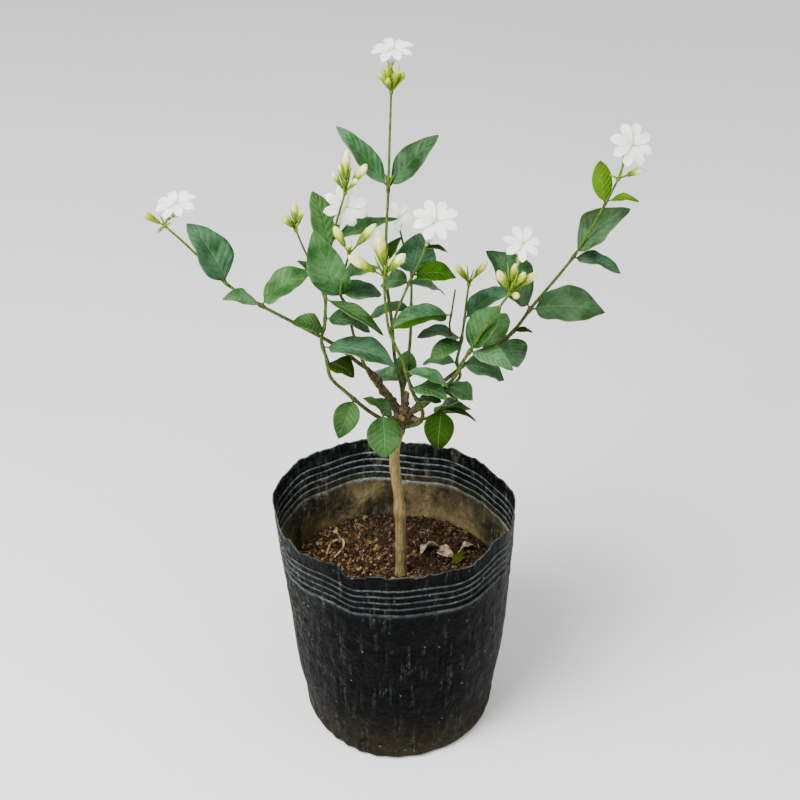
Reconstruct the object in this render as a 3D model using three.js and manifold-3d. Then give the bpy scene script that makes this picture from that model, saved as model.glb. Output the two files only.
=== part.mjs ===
// A young arabian jasmine in a black polythene nursery bag, in millimetres with +Z up.
// The origin is the middle of the bag's base, where it stands on the ground; -Y is the front.
import * as THREE from 'three';
import { mergeVertices } from 'three/addons/utils/BufferGeometryUtils.js';
import Module from 'manifold-3d';

const wasm = await Module();
wasm.setup();

const fitGap = 0.3;
const turn = Math.PI * 2;

const bag = {
  height: 155,
  wall: 1,
  segments: 26,
  ringCount: 5,
  firstRingDrop: 10.5,
  ringPitch: 4.9,
  ringRise: 0.5,
  lipWave: 1.6,
  lipSwings: [[-112, -4.5, 8], [-38, 8, 14]],
  wallProfile: [[0, 0], [59, 0], [63, 2.5], [65.2, 10], [69.4, 44], [74.6, 112]],
  mouthRadius: 78,
  mouthShift: -3,
};
const soil = {
  level: 100,
  edgeDrop: 3,
  edgeInset: 3,
  shoulder: 6,
  wallGap: 0.85,
  relief: 1,
  rings: 3,
};
const trunk = {
  rootDepth: 42,
  baseRadius: 3.7,
  topRadius: 3.2,
  knobLift: 50,
  knobRadius: 4.3,
  knobLength: 6,
  sides: 8,
  steps: 13,
  route: [[1.7, 0, 100], [1, 0, 150], [-2.4, 0, 196], [2, 0, 216]],
};
const crown = {
  middle: [3, 1, 221],
  radius: 6.8,
  tallness: 1.3,
  fork: [[2, 2, 222], [-8, 5, 236], [-17, 5, 251]],
  forkRadii: [3.4, 2.8],
  stubRadii: [2.4, 1.7],
  stubs: [
    { toward: 200, rise: -5, long: 13 },
    { toward: 330, rise: 5, long: 14 },
    { toward: 265, rise: 30, long: 12 },
    { toward: 60, rise: 74, long: 17 },
    { toward: 350, rise: 42, long: 13 },
  ],
};
const leafShape = {
  thickness: 0.8,
  petioleWidth: 1.3,
  petioleThickness: 1.1,
  petioleShare: 0.09,
  slenderness: 0.62,
  smallLeaf: 15.5,
  largeLeaf: 31,
};
const jointRadius = 1.5;
const petalShape = {
  thickness: 0.7,
  layerGap: 1.3,
  slenderness: 0.5,
  waver: 0.02,
  outline: [[0.06, 0.2, 0], [0.62, 1, 0.09], [1, 0.42, -0.02]],
};

const colours = {
  polythene: '#1d2122',
  soil: '#5a4330',
  bark: '#a08a68',
  leaf: '#3f7a3c',
  bud: '#c5d255',
  petal: '#f7f8f4',
  dryLeaf: '#8a6a48',
  straw: '#c9b48a',
  sprig: '#8aa04e',
};

// ---------- solids ----------

function toSolid(geometry) {
  const bare = geometry.clone();
  bare.deleteAttribute('normal');
  bare.deleteAttribute('uv');
  const merged = mergeVertices(bare, 1e-4);
  const triangles = [];
  for (let i = 0; i < merged.index.count; i += 3) {
    const corners = [0, 1, 2].map((k) => merged.index.getX(i + k));
    if (new Set(corners).size === 3) triangles.push(...corners);
  }
  return new wasm.Manifold(new wasm.Mesh({
    numProp: 3,
    vertProperties: new Float32Array(merged.attributes.position.array),
    triVerts: new Uint32Array(triangles),
  }));
}

function toGeometry(solid) {
  const mesh = solid.getMesh();
  const geometry = new THREE.BufferGeometry();
  geometry.setAttribute('position', new THREE.BufferAttribute(new Float32Array(mesh.vertProperties), 3));
  geometry.setIndex(new THREE.BufferAttribute(new Uint32Array(mesh.triVerts), 1));
  geometry.computeVertexNormals();
  return geometry;
}

// The joined body of several solids; a scrap that a cut leaves loose is dropped.
function joined(solids) {
  const whole = solids.reduce((sum, solid) => sum.add(solid));
  return largestBody(whole);
}

function largestBody(solid) {
  const bodies = solid.decompose();
  return bodies.reduce((best, body) => (body.volume() > best.volume() ? body : best));
}

function indexedGeometry(points, triangles) {
  const geometry = new THREE.BufferGeometry();
  const flat = points.flatMap((point) => [point.x, point.y, point.z]);
  geometry.setAttribute('position', new THREE.Float32BufferAttribute(flat, 3));
  geometry.setIndex(triangles);
  return geometry;
}

const vector = (place) => new THREE.Vector3(...place);
const routeCurve = (route) => new THREE.CatmullRomCurve3(route.map(vector), false, 'centripetal');

// A round rod along a curve; radiusAt gives its radius from 0 at the start to 1 at the end.
function rod(curve, radiusAt, sides, steps) {
  const frames = curve.computeFrenetFrames(steps);
  const points = [];
  const triangles = [];
  for (let i = 0; i <= steps; i += 1) {
    const share = i / steps;
    const middle = curve.getPointAt(share);
    for (let k = 0; k < sides; k += 1) {
      const angle = (k / sides) * turn;
      const out = frames.normals[i].clone().multiplyScalar(Math.cos(angle));
      out.addScaledVector(frames.binormals[i], Math.sin(angle));
      points.push(middle.clone().addScaledVector(out, radiusAt(share)));
    }
  }
  for (let i = 0; i < steps; i += 1) {
    for (let k = 0; k < sides; k += 1) {
      const here = i * sides + k;
      const beside = i * sides + ((k + 1) % sides);
      triangles.push(here, beside, beside + sides);
      triangles.push(here, beside + sides, here + sides);
    }
  }
  const last = steps * sides;
  for (let k = 1; k < sides - 1; k += 1) {
    triangles.push(0, k + 1, k);
    triangles.push(last, last + k, last + k + 1);
  }
  return toSolid(indexedGeometry(points, triangles));
}

const tapered = (start, end) => (share) => THREE.MathUtils.lerp(start, end, share);

// A turned body whose profile of [radius, height] runs from one end of its axis to the other.
function turned(profile, sides, base, direction) {
  const outline = profile.map(([radius, height]) => new THREE.Vector2(radius, height));
  const geometry = new THREE.LatheGeometry(outline, sides);
  const up = new THREE.Vector3(0, 1, 0);
  geometry.applyQuaternion(new THREE.Quaternion().setFromUnitVectors(up, direction));
  geometry.translate(base.x, base.y, base.z);
  return toSolid(geometry);
}

// ---------- blades: leaves, petals and dry scraps ----------

// The way from a base: toward is the compass angle in degrees from +X, rise is above level.
function heading(toward, rise) {
  const across = THREE.MathUtils.degToRad(toward);
  const up = THREE.MathUtils.degToRad(rise);
  return new THREE.Vector3(
    Math.cos(across) * Math.cos(up),
    Math.sin(across) * Math.cos(up),
    Math.sin(up),
  );
}

// The face side of a blade looks up, then rolls about the blade's own length.
function bladeFrame(along, roll) {
  const face = new THREE.Vector3(0, 0, 1).addScaledVector(along, -along.z);
  if (face.length() < 0.2) face.set(0, -1, 0).addScaledVector(along, along.y);
  face.normalize().applyAxisAngle(along, THREE.MathUtils.degToRad(-roll));
  return { along, face, side: new THREE.Vector3().crossVectors(along, face) };
}

// A thin slab through stations along its length: each gives how far along it is (at), the lift of its
// middle, its half width, how far each edge rises and its thickness. Both faces are split alike.
function slab(base, frame, stations) {
  const points = [];
  const triangles = [];
  const place = (station, column, level) => {
    const point = base.clone().addScaledVector(frame.along, station.at);
    const edge = column < 0 ? station.leftEdge : station.rightEdge;
    const lift = station.lift + (column === 0 ? 0 : edge);
    point.addScaledVector(frame.face, lift + level * station.thick / 2);
    return point.addScaledVector(frame.side, column * station.half);
  };
  for (const station of stations) {
    for (const level of [1, -1]) {
      for (const column of [-1, 0, 1]) points.push(place(station, column, level));
    }
  }
  const quad = (a, b, c, d) => triangles.push(a, b, c, a, c, d);
  for (let i = 0; i < stations.length - 1; i += 1) {
    const here = i * 6;
    const next = here + 6;
    for (const column of [0, 1]) {
      quad(here + column, here + column + 1, next + column + 1, next + column);
      quad(here + 3 + column + 1, here + 3 + column, next + 3 + column, next + 3 + column + 1);
    }
    quad(here + 3, here, next, next + 3);
    quad(here + 2, here + 5, next + 5, next + 2);
  }
  const end = (stations.length - 1) * 6;
  for (const column of [0, 1]) {
    quad(column + 1, column, column + 3, column + 4);
    quad(end + column, end + column + 1, end + column + 4, end + column + 3);
  }
  return toSolid(indexedGeometry(points, triangles));
}

// A jasmine leaf: a short petiole, then an oval blade with a drawn-out tip and waved edges.
function leafBlade(base, leaf, seed) {
  const { thickness, petioleWidth, petioleShare, slenderness, smallLeaf, largeLeaf } = leafShape;
  const along = heading(leaf.toward, leaf.rise);
  const frame = bladeFrame(along, leaf.roll ?? 0);
  const width = leaf.wide ?? leaf.long * slenderness;
  const arch = (leaf.arch ?? 0.08) * leaf.long;
  const fold = leaf.fold ?? 0.22;
  const wave = (leaf.wave ?? 0.05) * width;
  let shares = [-0.02, petioleShare, 0.24, 0.46, 0.74, 1];
  if (leaf.long < largeLeaf) shares = [-0.02, petioleShare, 0.3, 0.68, 1];
  if (leaf.long < smallLeaf) shares = [-0.03, 0.45, 1];
  const stations = shares.map((share) => {
    const blade = Math.max(0, (share - petioleShare) / (1 - petioleShare));
    const swell = Math.sin(Math.PI * blade ** 0.76) ** 0.72;
    const half = Math.max(0.35, petioleWidth / 2 * (1 - blade), swell * width / 2);
    const ripple = wave * Math.sin(blade * 9 + seed * 2.1) * Math.min(1, swell * 2);
    return {
      at: leaf.long * share,
      lift: arch * 4 * Math.max(0, share) * (1 - share),
      half,
      leftEdge: fold * half * swell + ripple,
      rightEdge: fold * half * swell - ripple * 0.8,
      thick: share <= petioleShare ? leafShape.petioleThickness : thickness,
    };
  });
  return slab(base, frame, stations);
}

// ---------- leafy shoots ----------

// Each shoot has a route from the crown and its radii; each leaf sits at a share of the route.
const shoots = {
  leader: {
    route: [[3, 5, 222], [2, 12, 236], [-2, 11, 256], [-4, 7, 285], [-7, 1, 316], [-7, -5, 333],
      [-7, -7, 352], [-6, -4, 371], [-5, 2, 403], [-4, 6, 432]],
    radii: [1.3, 0.65],
    leaves: [
      { at: 0.75, toward: 163, rise: 49, long: 46, wide: 16, roll: 20, arch: 0 },
      { at: 0.75, toward: 8, rise: 48, long: 42, wide: 18, roll: -32, arch: 0.02 },
      { at: 0.745, toward: 120, rise: 70, long: 9, wide: 2.4 },
      { at: 0.745, toward: 20, rise: 66, long: 10, wide: 2.6 },
      { at: 0.53, toward: 40, rise: 50, long: 17, wide: 9 },
    ],
  },
  left_branch: {
    route: [[-15, 5, 247], [-18, 4, 253], [-24, 2, 259], [-38, -2, 274], [-63, -4, 291],
      [-81, -4, 302], [-102, -2, 316], [-118, 2, 332], [-127, 4, 341], [-136, 6, 349]],
    radii: [1.4, 0.65],
    leaves: [
      { at: 0.7, toward: 160, rise: 58, long: 43, roll: 20 },
      { at: 0.76, toward: 165, rise: 30, long: 8, wide: 2 },
      { at: 0.55, toward: -150, rise: 26, long: 27, wide: 16, roll: 10 },
      { at: 0.55, toward: 11, rise: 35, long: 37, roll: -15 },
    ],
  },
  left_upright: {
    route: [[2, -1, 220], [-6, -9, 224], [-16, -11, 231], [-31, -12, 246], [-41, -13, 258],
      [-43, -14, 271], [-46, -14, 285], [-44, -13, 293], [-43, -11, 310], [-43, -8, 322],
      [-40, -5, 340], [-37, -4, 353], [-31, -5, 375]],
    radii: [1.4, 0.65],
    leaves: [
      { at: 0.8, toward: 120, rise: 56, long: 36, wide: 18 },
      { at: 0.835, toward: 22, rise: 11, long: 42, wide: 16, arch: 0.02 },
      { at: 0.67, toward: 178, rise: 50, long: 24, wide: 10, roll: 15 },
      { at: 0.53, toward: -150, rise: 26, long: 23, roll: 35 },
      { at: 0.635, toward: -24, rise: -21, long: 41, wide: 12, fold: 0.4, arch: 0.02 },
      { at: 0.565, toward: -5, rise: -13, long: 28, wide: 22 },
      { at: 0.46, toward: -12, rise: -8, long: 46 },
      { at: 0.4, toward: -27, rise: -14, long: 19, wide: 19 },
      { at: 0.22, toward: -120, rise: -44, long: 26, roll: 20 },
    ],
    twigs: [
      { route: [[-43, -11, 309], [-49, -6, 326], [-55, -5, 340], [-59, -6, 352]] },
      { route: [[-41, -5.6, 337], [-40, 2, 342], [-35, 8, 350], [-32, 8.4, 358]] },
    ],
  },
  middle_shoot: {
    route: [[1, -1, 224], [-8, -3, 239], [-17, 0, 251], [-25, 2, 270], [-31, 0, 300],
      [-34, -12, 314], [-33, -16, 325], [-29, -16, 341]],
    radii: [1.3, 0.65],
    leaves: [
      { at: 0.73, toward: -142, rise: 69, long: 54, wide: 24, roll: 130 },
      { at: 0.89, toward: 26, rise: 6, long: 24 },
      { at: 0.79, toward: 27, rise: -12, long: 28, roll: -20 },
    ],
  },
  front_cane: {
    route: [[4, -3, 216], [13, -9, 223], [15, -13, 232], [13, -16, 240], [9, -20, 251],
      [6, -24, 263], [3, -27, 276], [-5, -32, 300], [-7, -35, 316], [-8, -37, 332], [-8, -38, 338]],
    radii: [1.4, 0.75],
    leaves: [
      { at: 0.475, toward: -19, rise: -9, long: 27, wide: 14 },
      { at: 0.37, toward: -30, rise: 0, long: 25, wide: 19 },
      { at: 0.28, toward: -20, rise: 8, long: 16, wide: 13 },
    ],
    twigs: [{
      route: [[-5, -32, 300], [1, -31, 318], [7, -28, 332], [13, -26, 345], [16, -25, 353]],
      leaves: [
        { at: 0.66, toward: -10, rise: 4, long: 25, wide: 17, roll: -15 },
        { at: 0.56, toward: 20, rise: -24, long: 25, wide: 16 },
        { at: 0.57, toward: 140, rise: -18, long: 23, wide: 15, roll: 30 },
        { at: 0.97, toward: 17, rise: -18, long: 15, wide: 7 },
      ],
    }],
  },
  inner_shoot: {
    route: [[6, 3, 222], [19, 7, 230], [38, 12, 243], [36, 9, 256], [38, 7, 269], [40, 5, 288],
      [41, 4, 302], [42, 4, 311]],
    radii: [1.3, 0.65],
    leaves: [
      { at: 0.66, toward: -159, rise: 15, long: 30, wide: 18 },
      { at: 0.64, toward: -151, rise: -16, long: 23, wide: 13, roll: 20 },
      { at: 0.79, toward: 9, rise: 35, long: 33, wide: 19, roll: -10 },
      { at: 0.48, toward: 168, rise: -6, long: 22, wide: 13 },
    ],
    twigs: [{
      route: [[37, 8, 265], [33, 5, 275], [31, 3, 285], [32, 2, 294], [33, 1, 303], [34, 0, 311]],
      leaves: [{ at: 0.61, toward: -161, rise: -1, long: 38, wide: 23, roll: 5 }],
    }],
  },
  right_cluster_shoot: {
    route: [[5, -1, 223], [15, -8, 234], [24, -12, 246], [34, -16, 260], [39, -20, 274],
      [44, -22, 284], [54, -24, 304], [64, -24, 320]],
    radii: [1.4, 0.75],
    leaves: [
      { at: 0.62, toward: 30, rise: 51, long: 33, wide: 22, roll: -10 },
      { at: 0.62, toward: -28, rise: -9, long: 29, wide: 17, roll: -5 },
      { at: 0.52, toward: 5, rise: -22, long: 29, wide: 20, roll: -10 },
      { at: 0.34, toward: -30, rise: -12, long: 19, wide: 18 },
      { at: 0.3, toward: -60, rise: 10, long: 18, wide: 13, roll: 10 },
    ],
  },
  right_branch: {
    route: [[6, 6, 220], [18, 20, 225], [45, 29, 245], [68, 26, 264], [83, 22, 289],
      [106, 14, 328], [121, 10, 362], [127, 8, 378]],
    radii: [1.5, 0.65],
    leaves: [
      { at: 0.39, toward: -64, rise: -42, long: 20, wide: 21, roll: -25 },
      { at: 0.42, toward: -10, rise: 4, long: 12, wide: 6 },
      { at: 0.51, toward: 164, rise: 54, long: 46, wide: 31, roll: 20 },
      { at: 0.51, toward: -10, rise: 4, long: 46, wide: 31, roll: -20 },
      { at: 0.74, toward: 7, rise: 43, long: 43, wide: 28, roll: -10 },
      { at: 0.73, toward: -16, rise: -11, long: 30, wide: 18 },
      { at: 0.92, toward: -140, rise: 78, long: 31, wide: 12, roll: -50 },
      { at: 0.93, toward: -24, rise: 13, long: 20, wide: 10 },
      { at: 0.3, toward: 60, rise: 25, long: 34 },
    ],
  },
  back_shoot: {
    route: [[3, 6, 220], [3, 19, 230], [7, 28, 256], [8, 30, 288], [8, 28, 308]],
    radii: [1.3, 0.75],
    leaves: [
      { at: 0.98, toward: 15, rise: 79, long: 28, wide: 26 },
      { at: 0.74, toward: 180, rise: -16, long: 28, wide: 15 },
      { at: 0.22, toward: 80, rise: 45, long: 21, wide: 15 },
      { at: 0.22, toward: 140, rise: -10, long: 30 },
    ],
    twigs: [{ route: [[8, 28, 307], [4, 30, 322], [1, 29, 336]] }],
  },
  low_sprout_front: {
    route: [[3, -3, 219], [-4, -12, 228], [-10, -18, 236]],
    radii: [1.2, 0.7],
    leaves: [
      { at: 0.96, toward: -85, rise: -62, long: 28, wide: 22 },
      { at: 0.9, toward: 178, rise: 42, long: 17, wide: 11 },
      { at: 0.5, toward: 172, rise: 46, long: 19, wide: 13 },
    ],
  },
  low_sprout_right: {
    route: [[6, 1, 217], [19, -9, 227], [27, -17, 239]],
    radii: [1.2, 0.7],
    leaves: [
      { at: 0.96, toward: -100, rise: -60, long: 26, wide: 19 },
      { at: 0.93, toward: -15, rise: -10, long: 23, wide: 6 },
      { at: 0.78, toward: -50, rise: 42, long: 26, wide: 15, roll: -10 },
      { at: 0.6, toward: 5, rise: 12, long: 25, wide: 15 },
    ],
  },
};

function shootSolid(shoot) {
  const solids = [];
  let seed = 0;
  const addStem = (route, radii, leaves) => {
    const curve = routeCurve(route);
    const steps = Math.max(3, Math.round(curve.getLength() / 23));
    solids.push(rod(curve, tapered(...radii), 5, steps));
    for (const leaf of leaves ?? []) {
      seed += 1;
      solids.push(leafBlade(curve.getPointAt(leaf.at), leaf, seed));
    }
    return curve;
  };
  addStem(shoot.route, shoot.radii, shoot.leaves);
  for (const twig of shoot.twigs ?? []) {
    addStem(twig.route, [shoot.radii[1] * 1.1, shoot.radii[1] * 0.9], twig.leaves);
  }
  return joined(solids);
}

// ---------- woody trunk ----------

function trunkStem(extra) {
  const foot = soil.level - trunk.rootDepth - extra;
  const [x, y] = trunk.route[0];
  const top = trunk.route.at(-1)[2];
  const curve = routeCurve([[x, y, foot], ...trunk.route]);
  const knobShare = (soil.level + trunk.knobLift - foot) / (top - foot);
  const knobSpread = trunk.knobLength / (top - foot);
  const radiusAt = (share) => {
    const plain = THREE.MathUtils.lerp(trunk.baseRadius, trunk.topRadius, share);
    const knob = (trunk.knobRadius - plain) * Math.exp(-(((share - knobShare) / knobSpread) ** 2));
    return plain + knob + extra;
  };
  return rod(curve, radiusAt, trunk.sides, trunk.steps);
}

// A pruned end: a short rod lengthened and thickened by extra.
function cutEnd(route, radii, extra) {
  const end = vector(route.at(-1));
  const onward = end.clone().sub(vector(route.at(-2))).normalize();
  const longer = [...route.slice(0, -1), end.addScaledVector(onward, extra).toArray()];
  return rod(routeCurve(longer), tapered(radii[0] + extra, radii[1] + extra), 6, route.length - 1);
}

// The wood with its pruned crown; extra makes it fatter all round, as a cutter for what it meets.
function trunkSolid(extra) {
  const knot = new THREE.IcosahedronGeometry(crown.radius + extra, 1);
  knot.scale(1, 1, crown.tallness);
  knot.translate(...crown.middle);
  const stubs = crown.stubs.map((stub) => {
    const end = vector(crown.middle).addScaledVector(heading(stub.toward, stub.rise), stub.long);
    return cutEnd([crown.middle, end.toArray()], crown.stubRadii, extra);
  });
  const fork = cutEnd(crown.fork, crown.forkRadii, extra);
  return joined([trunkStem(extra), toSolid(knot), fork, ...stubs]);
}

// ---------- bag and soil ----------

// How far the soft wall stands out of round at an angle, growing from the base to the mouth.
function wallRipple(angle, height) {
  const share = height / bag.height;
  const oval = 2.2 * share * Math.cos(2 * (angle - 2.3));
  const lean = bag.mouthShift * share ** 2 * Math.cos(angle);
  const pleats = 0.7 * Math.sin(7 * angle + 0.6) + 0.4 * Math.sin(11 * angle);
  return oval + lean + pleats * Math.min(1, share * 4);
}

// How high the lip stands at an angle: a wave all round, and where it sags or is pulled up. Each
// swing gives its angle in degrees, its lift and how many degrees it spreads over.
function lipLift(angle) {
  const degrees = THREE.MathUtils.radToDeg(angle);
  let lift = bag.lipWave * (Math.sin(3 * angle + 0.5) * 0.7 + Math.sin(8 * angle) * 0.45);
  for (const [at, rise, spread] of bag.lipSwings) {
    lift += rise * Math.exp(-(((degrees - at) / spread) ** 2));
  }
  return lift;
}

// The wall's radius at a height, without ripple: a straight run between the profile's points.
function wallRadius(height) {
  const points = [...bag.wallProfile.slice(1), [bag.mouthRadius, bag.height]];
  const above = Math.max(1, points.findIndex(([, z]) => z >= height));
  const [lowRadius, low] = points[above - 1];
  const [highRadius, high] = points[above];
  return THREE.MathUtils.mapLinear(height, low, high, lowRadius, highRadius);
}

function rippled(geometry, follow) {
  const position = geometry.attributes.position;
  for (let i = 0; i < position.count; i += 1) {
    const radius = Math.hypot(position.getX(i), position.getZ(i));
    if (radius < 1e-6) continue;
    const angle = Math.atan2(-position.getZ(i), position.getX(i));
    const height = position.getY(i);
    const stretched = radius + wallRipple(angle, height) * Math.min(1, radius / 50);
    const near = Math.max(0, (height - follow) / (bag.height - follow));
    position.setX(i, stretched * Math.cos(angle));
    position.setZ(i, -stretched * Math.sin(angle));
    position.setY(i, height + lipLift(angle) * near);
  }
  geometry.rotateX(Math.PI / 2);
  return geometry;
}

function growBagSolid() {
  const rings = [];
  for (let i = bag.ringCount - 1; i >= 0; i -= 1) {
    const middle = bag.height - bag.firstRingDrop - i * bag.ringPitch;
    rings.push([wallRadius(middle - bag.ringPitch / 2), middle - bag.ringPitch / 2]);
    rings.push([wallRadius(middle) + bag.ringRise, middle]);
  }
  const top = bag.height - bag.firstRingDrop + bag.ringPitch / 2;
  rings.push([wallRadius(top), top]);
  const outer = [...bag.wallProfile, ...rings, [bag.mouthRadius, bag.height]];
  const inside = [[bag.mouthRadius, bag.height], ...bag.wallProfile.slice(3).reverse()];
  const inner = inside.map(([radius, height]) => [radius - bag.wall, height]);
  const profile = [...outer, ...inner, [61.5, 3], [58, bag.wall], [0, bag.wall]];
  const outline = profile.map(([radius, height]) => new THREE.Vector2(radius, height));
  const geometry = rippled(new THREE.LatheGeometry(outline, bag.segments), bag.height / 2);
  return toSolid(geometry);
}

function soilRelief(x, y) {
  const lumps = Math.sin(x * 0.19 + 1) * Math.cos(y * 0.23) + 0.6 * Math.sin(x * 0.43 - y * 0.31);
  return soil.relief * lumps;
}

function soilSolid(lift) {
  const inset = bag.wall + soil.wallGap;
  const side = bag.wallProfile.slice(3).filter(([, height]) => height < soil.level - soil.shoulder);
  const profile = [[0, bag.wall + fitGap], [57, bag.wall + fitGap], [61.5 - soil.wallGap, 3.8]];
  for (const [radius, height] of side) profile.push([radius - inset, height]);
  profile.push([wallRadius(soil.level - soil.shoulder) - inset, soil.level - soil.shoulder]);
  const rim = wallRadius(soil.level) - inset - soil.edgeInset;
  for (let i = soil.rings; i >= 0; i -= 1) {
    profile.push([(rim * i) / soil.rings, soil.level + lift - (i === soil.rings ? soil.edgeDrop : 0)]);
  }
  const outline = profile.map(([radius, height]) => new THREE.Vector2(radius, height));
  const geometry = rippled(new THREE.LatheGeometry(outline, bag.segments), bag.height);
  const position = geometry.attributes.position;
  for (let i = 0; i < position.count; i += 1) {
    const inside = Math.hypot(position.getX(i), position.getY(i)) < rim + 2;
    if (position.getZ(i) <= soil.level - soil.shoulder || !inside) continue;
    position.setZ(i, position.getZ(i) + soilRelief(position.getX(i), position.getY(i)));
  }
  return toSolid(geometry);
}

// ---------- litter lying on the soil ----------

const dryLeaves = {
  dry_leaf_left: { place: [14, 18], toward: 30, long: 17, wide: 9, roll: 35, fold: 0.7 },
  dry_leaf_middle: { place: [26, 24], toward: -40, long: 15, wide: 9, roll: -30, fold: 0.8 },
  dry_leaf_right: { place: [40, 22], toward: 15, long: 14, wide: 7, roll: 25, fold: 0.6 },
};

const dryLeafLift = 0.4;
const dryLeafRise = 6;
const dryLeafArch = 0.16;
const strawRoute = [[-48, 20, 101], [-45, 30, 103], [-38, 33, 104], [-37, 25, 103], [-43, 16, 101]];
const strawRadius = 0.7;
const sprigLeaf = { place: [38, 9, 100.8], toward: 60, rise: 25, long: 12, wide: 3.5 };

function litterSolids(soilCutter) {
  const nodes = [];
  for (const [name, leaf] of Object.entries(dryLeaves)) {
    const base = new THREE.Vector3(...leaf.place, soil.level + dryLeafLift);
    const blade = leafBlade(base, { ...leaf, rise: dryLeafRise, arch: dryLeafArch }, leaf.long);
    nodes.push([name, largestBody(blade.subtract(soilCutter)), colours.dryLeaf]);
  }
  const straw = rod(routeCurve(strawRoute), () => strawRadius, 5, 9);
  nodes.push(['straw_loop', largestBody(straw.subtract(soilCutter)), colours.straw]);
  const sprig = leafBlade(vector(sprigLeaf.place), sprigLeaf, sprigLeaf.long);
  nodes.push(['green_sprig', largestBody(sprig.subtract(soilCutter)), colours.sprig]);
  return nodes;
}

// ---------- buds and blooms ----------

// A bud on its stalk: the stalk, the narrow calyx, the swollen petals and the pointed tip.
function budSolid(base, bud) {
  const { long, fat, stalk } = bud;
  const body = long - stalk;
  const profile = [
    [0, -0.4],
    [0.55, -0.4],
    [0.6, stalk],
    [fat * 0.42, stalk + body * 0.3],
    [fat * 0.48, stalk + body * 0.65],
    [0, long],
  ];
  return turned(profile, 5, base, heading(bud.toward, bud.rise));
}

function sepalSolid(base, sepal) {
  const profile = [[0, -0.3], [0.7, -0.3], [0.85, sepal.long * 0.4], [0, sepal.long]];
  return turned(profile, 3, base, heading(sepal.toward, sepal.rise));
}

// Each cluster stands on the end of a stem; its sepals, [toward, rise, long], fill the gaps of the buds.
const clusters = {
  buds_top: {
    stem: ['leader'],
    buds: [
      { toward: 180, rise: 62, long: 13, fat: 4.7, stalk: 4 },
      { toward: 0, rise: 58, long: 14, fat: 4.9, stalk: 4 },
      { toward: 250, rise: 60, long: 12, fat: 4.7, stalk: 4 },
      { toward: 310, rise: 68, long: 16, fat: 4.7, stalk: 5 },
      { toward: 90, rise: 60, long: 13, fat: 4.7, stalk: 4 },
      { toward: 215, rise: 80, long: 17, fat: 4.4, stalk: 5 },
    ],
    sepals: [[150, 60, 14], [20, 70, 17], [200, 72, 17], [330, 50, 12], [270, 78, 19], [120, 75, 18],
      [240, 58, 16], [300, 60, 16], [180, 50, 13], [0, 48, 13]],
  },
  buds_far_left: {
    stem: ['left_branch'],
    buds: [{ toward: 188, rise: 36, long: 16, fat: 5, stalk: 4 }],
    sepals: [[150, 60, 8], [230, -20, 8], [150, 15, 8], [170, -40, 7], [330, 30, 7]],
  },
  buds_left: {
    stem: ['left_upright', 0],
    buds: [
      { toward: 185, rise: 50, long: 13, fat: 5.2, stalk: 3 },
      { toward: 100, rise: 78, long: 17, fat: 5.2, stalk: 4 },
      { toward: 20, rise: 66, long: 13, fat: 3.6, stalk: 4 },
    ],
    sepals: [[230, 50, 10], [140, 55, 11], [300, 60, 10]],
  },
  buds_upper: {
    stem: ['left_upright'],
    buds: [
      { toward: 310, rise: 84, long: 29, fat: 5.6, stalk: 9 },
      { toward: 330, rise: 55, long: 26, fat: 5.8, stalk: 10 },
      { toward: 190, rise: 62, long: 15, fat: 4.2, stalk: 6 },
      { toward: 320, rise: 50, long: 15, fat: 4.2, stalk: 7 },
      { toward: 150, rise: 78, long: 18, fat: 4.4, stalk: 8 },
    ],
    sepals: [[0, 75, 13], [250, 60, 11], [60, 60, 12], [210, 80, 14]],
  },
  buds_middle: {
    stem: ['middle_shoot'],
    buds: [
      { toward: 160, rise: 62, long: 19, fat: 6, stalk: 6 },
      { toward: 20, rise: 45, long: 24, fat: 5.7, stalk: 8 },
      { toward: 300, rise: 75, long: 9, fat: 3.4, stalk: 3 },
    ],
    sepals: [[240, 60, 8], [60, 70, 9]],
  },
  buds_front: {
    stem: ['front_cane'],
    buds: [
      { toward: 190, rise: 84, long: 30, fat: 8.1, stalk: 8 },
      { toward: 190, rise: 36, long: 26, fat: 7.3, stalk: 7 },
      { toward: 350, rise: 52, long: 20, fat: 6.8, stalk: 6 },
    ],
    sepals: [[340, 78, 14], [215, 62, 13], [20, 62, 13], [270, 60, 12], [160, 64, 15]],
  },
  buds_inner: {
    stem: ['inner_shoot'],
    buds: [
      { toward: 190, rise: 60, long: 17, fat: 4.9, stalk: 5 },
      { toward: 0, rise: 56, long: 19, fat: 4.9, stalk: 6 },
    ],
    sepals: [[250, 64, 12], [110, 70, 13], [20, 72, 11], [320, 62, 10], [165, 70, 11]],
  },
  buds_right: {
    stem: ['right_cluster_shoot'],
    buds: [
      { toward: 195, rise: 64, long: 18, fat: 6.2, stalk: 5 },
      { toward: 10, rise: 38, long: 20, fat: 5.4, stalk: 6 },
      { toward: 300, rise: 10, long: 9, fat: 5.2, stalk: 3 },
      { toward: 60, rise: 72, long: 18, fat: 4.9, stalk: 7 },
      { toward: 350, rise: 60, long: 17, fat: 4.9, stalk: 6 },
    ],
    sepals: [[120, 78, 19], [20, 60, 16], [280, 60, 13], [330, 74, 17], [200, 76, 15]],
  },
  buds_far_right: {
    stem: ['right_branch'],
    buds: [{ toward: 340, rise: 30, long: 17, fat: 5.2, stalk: 6 }],
    sepals: [[60, 40, 8], [200, 30, 7], [300, 60, 7]],
  },
};

function stemCurve([shootName, twigIndex]) {
  const shoot = shoots[shootName];
  return routeCurve(twigIndex === undefined ? shoot.route : shoot.twigs[twigIndex].route);
}

// The ball that a cluster's stalks meet in, just clear of the cut end of its stem.
function clusterJoint(cluster) {
  const curve = stemCurve(cluster.stem);
  return curve.getPoint(1).addScaledVector(curve.getTangent(1), jointRadius + fitGap);
}

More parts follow.
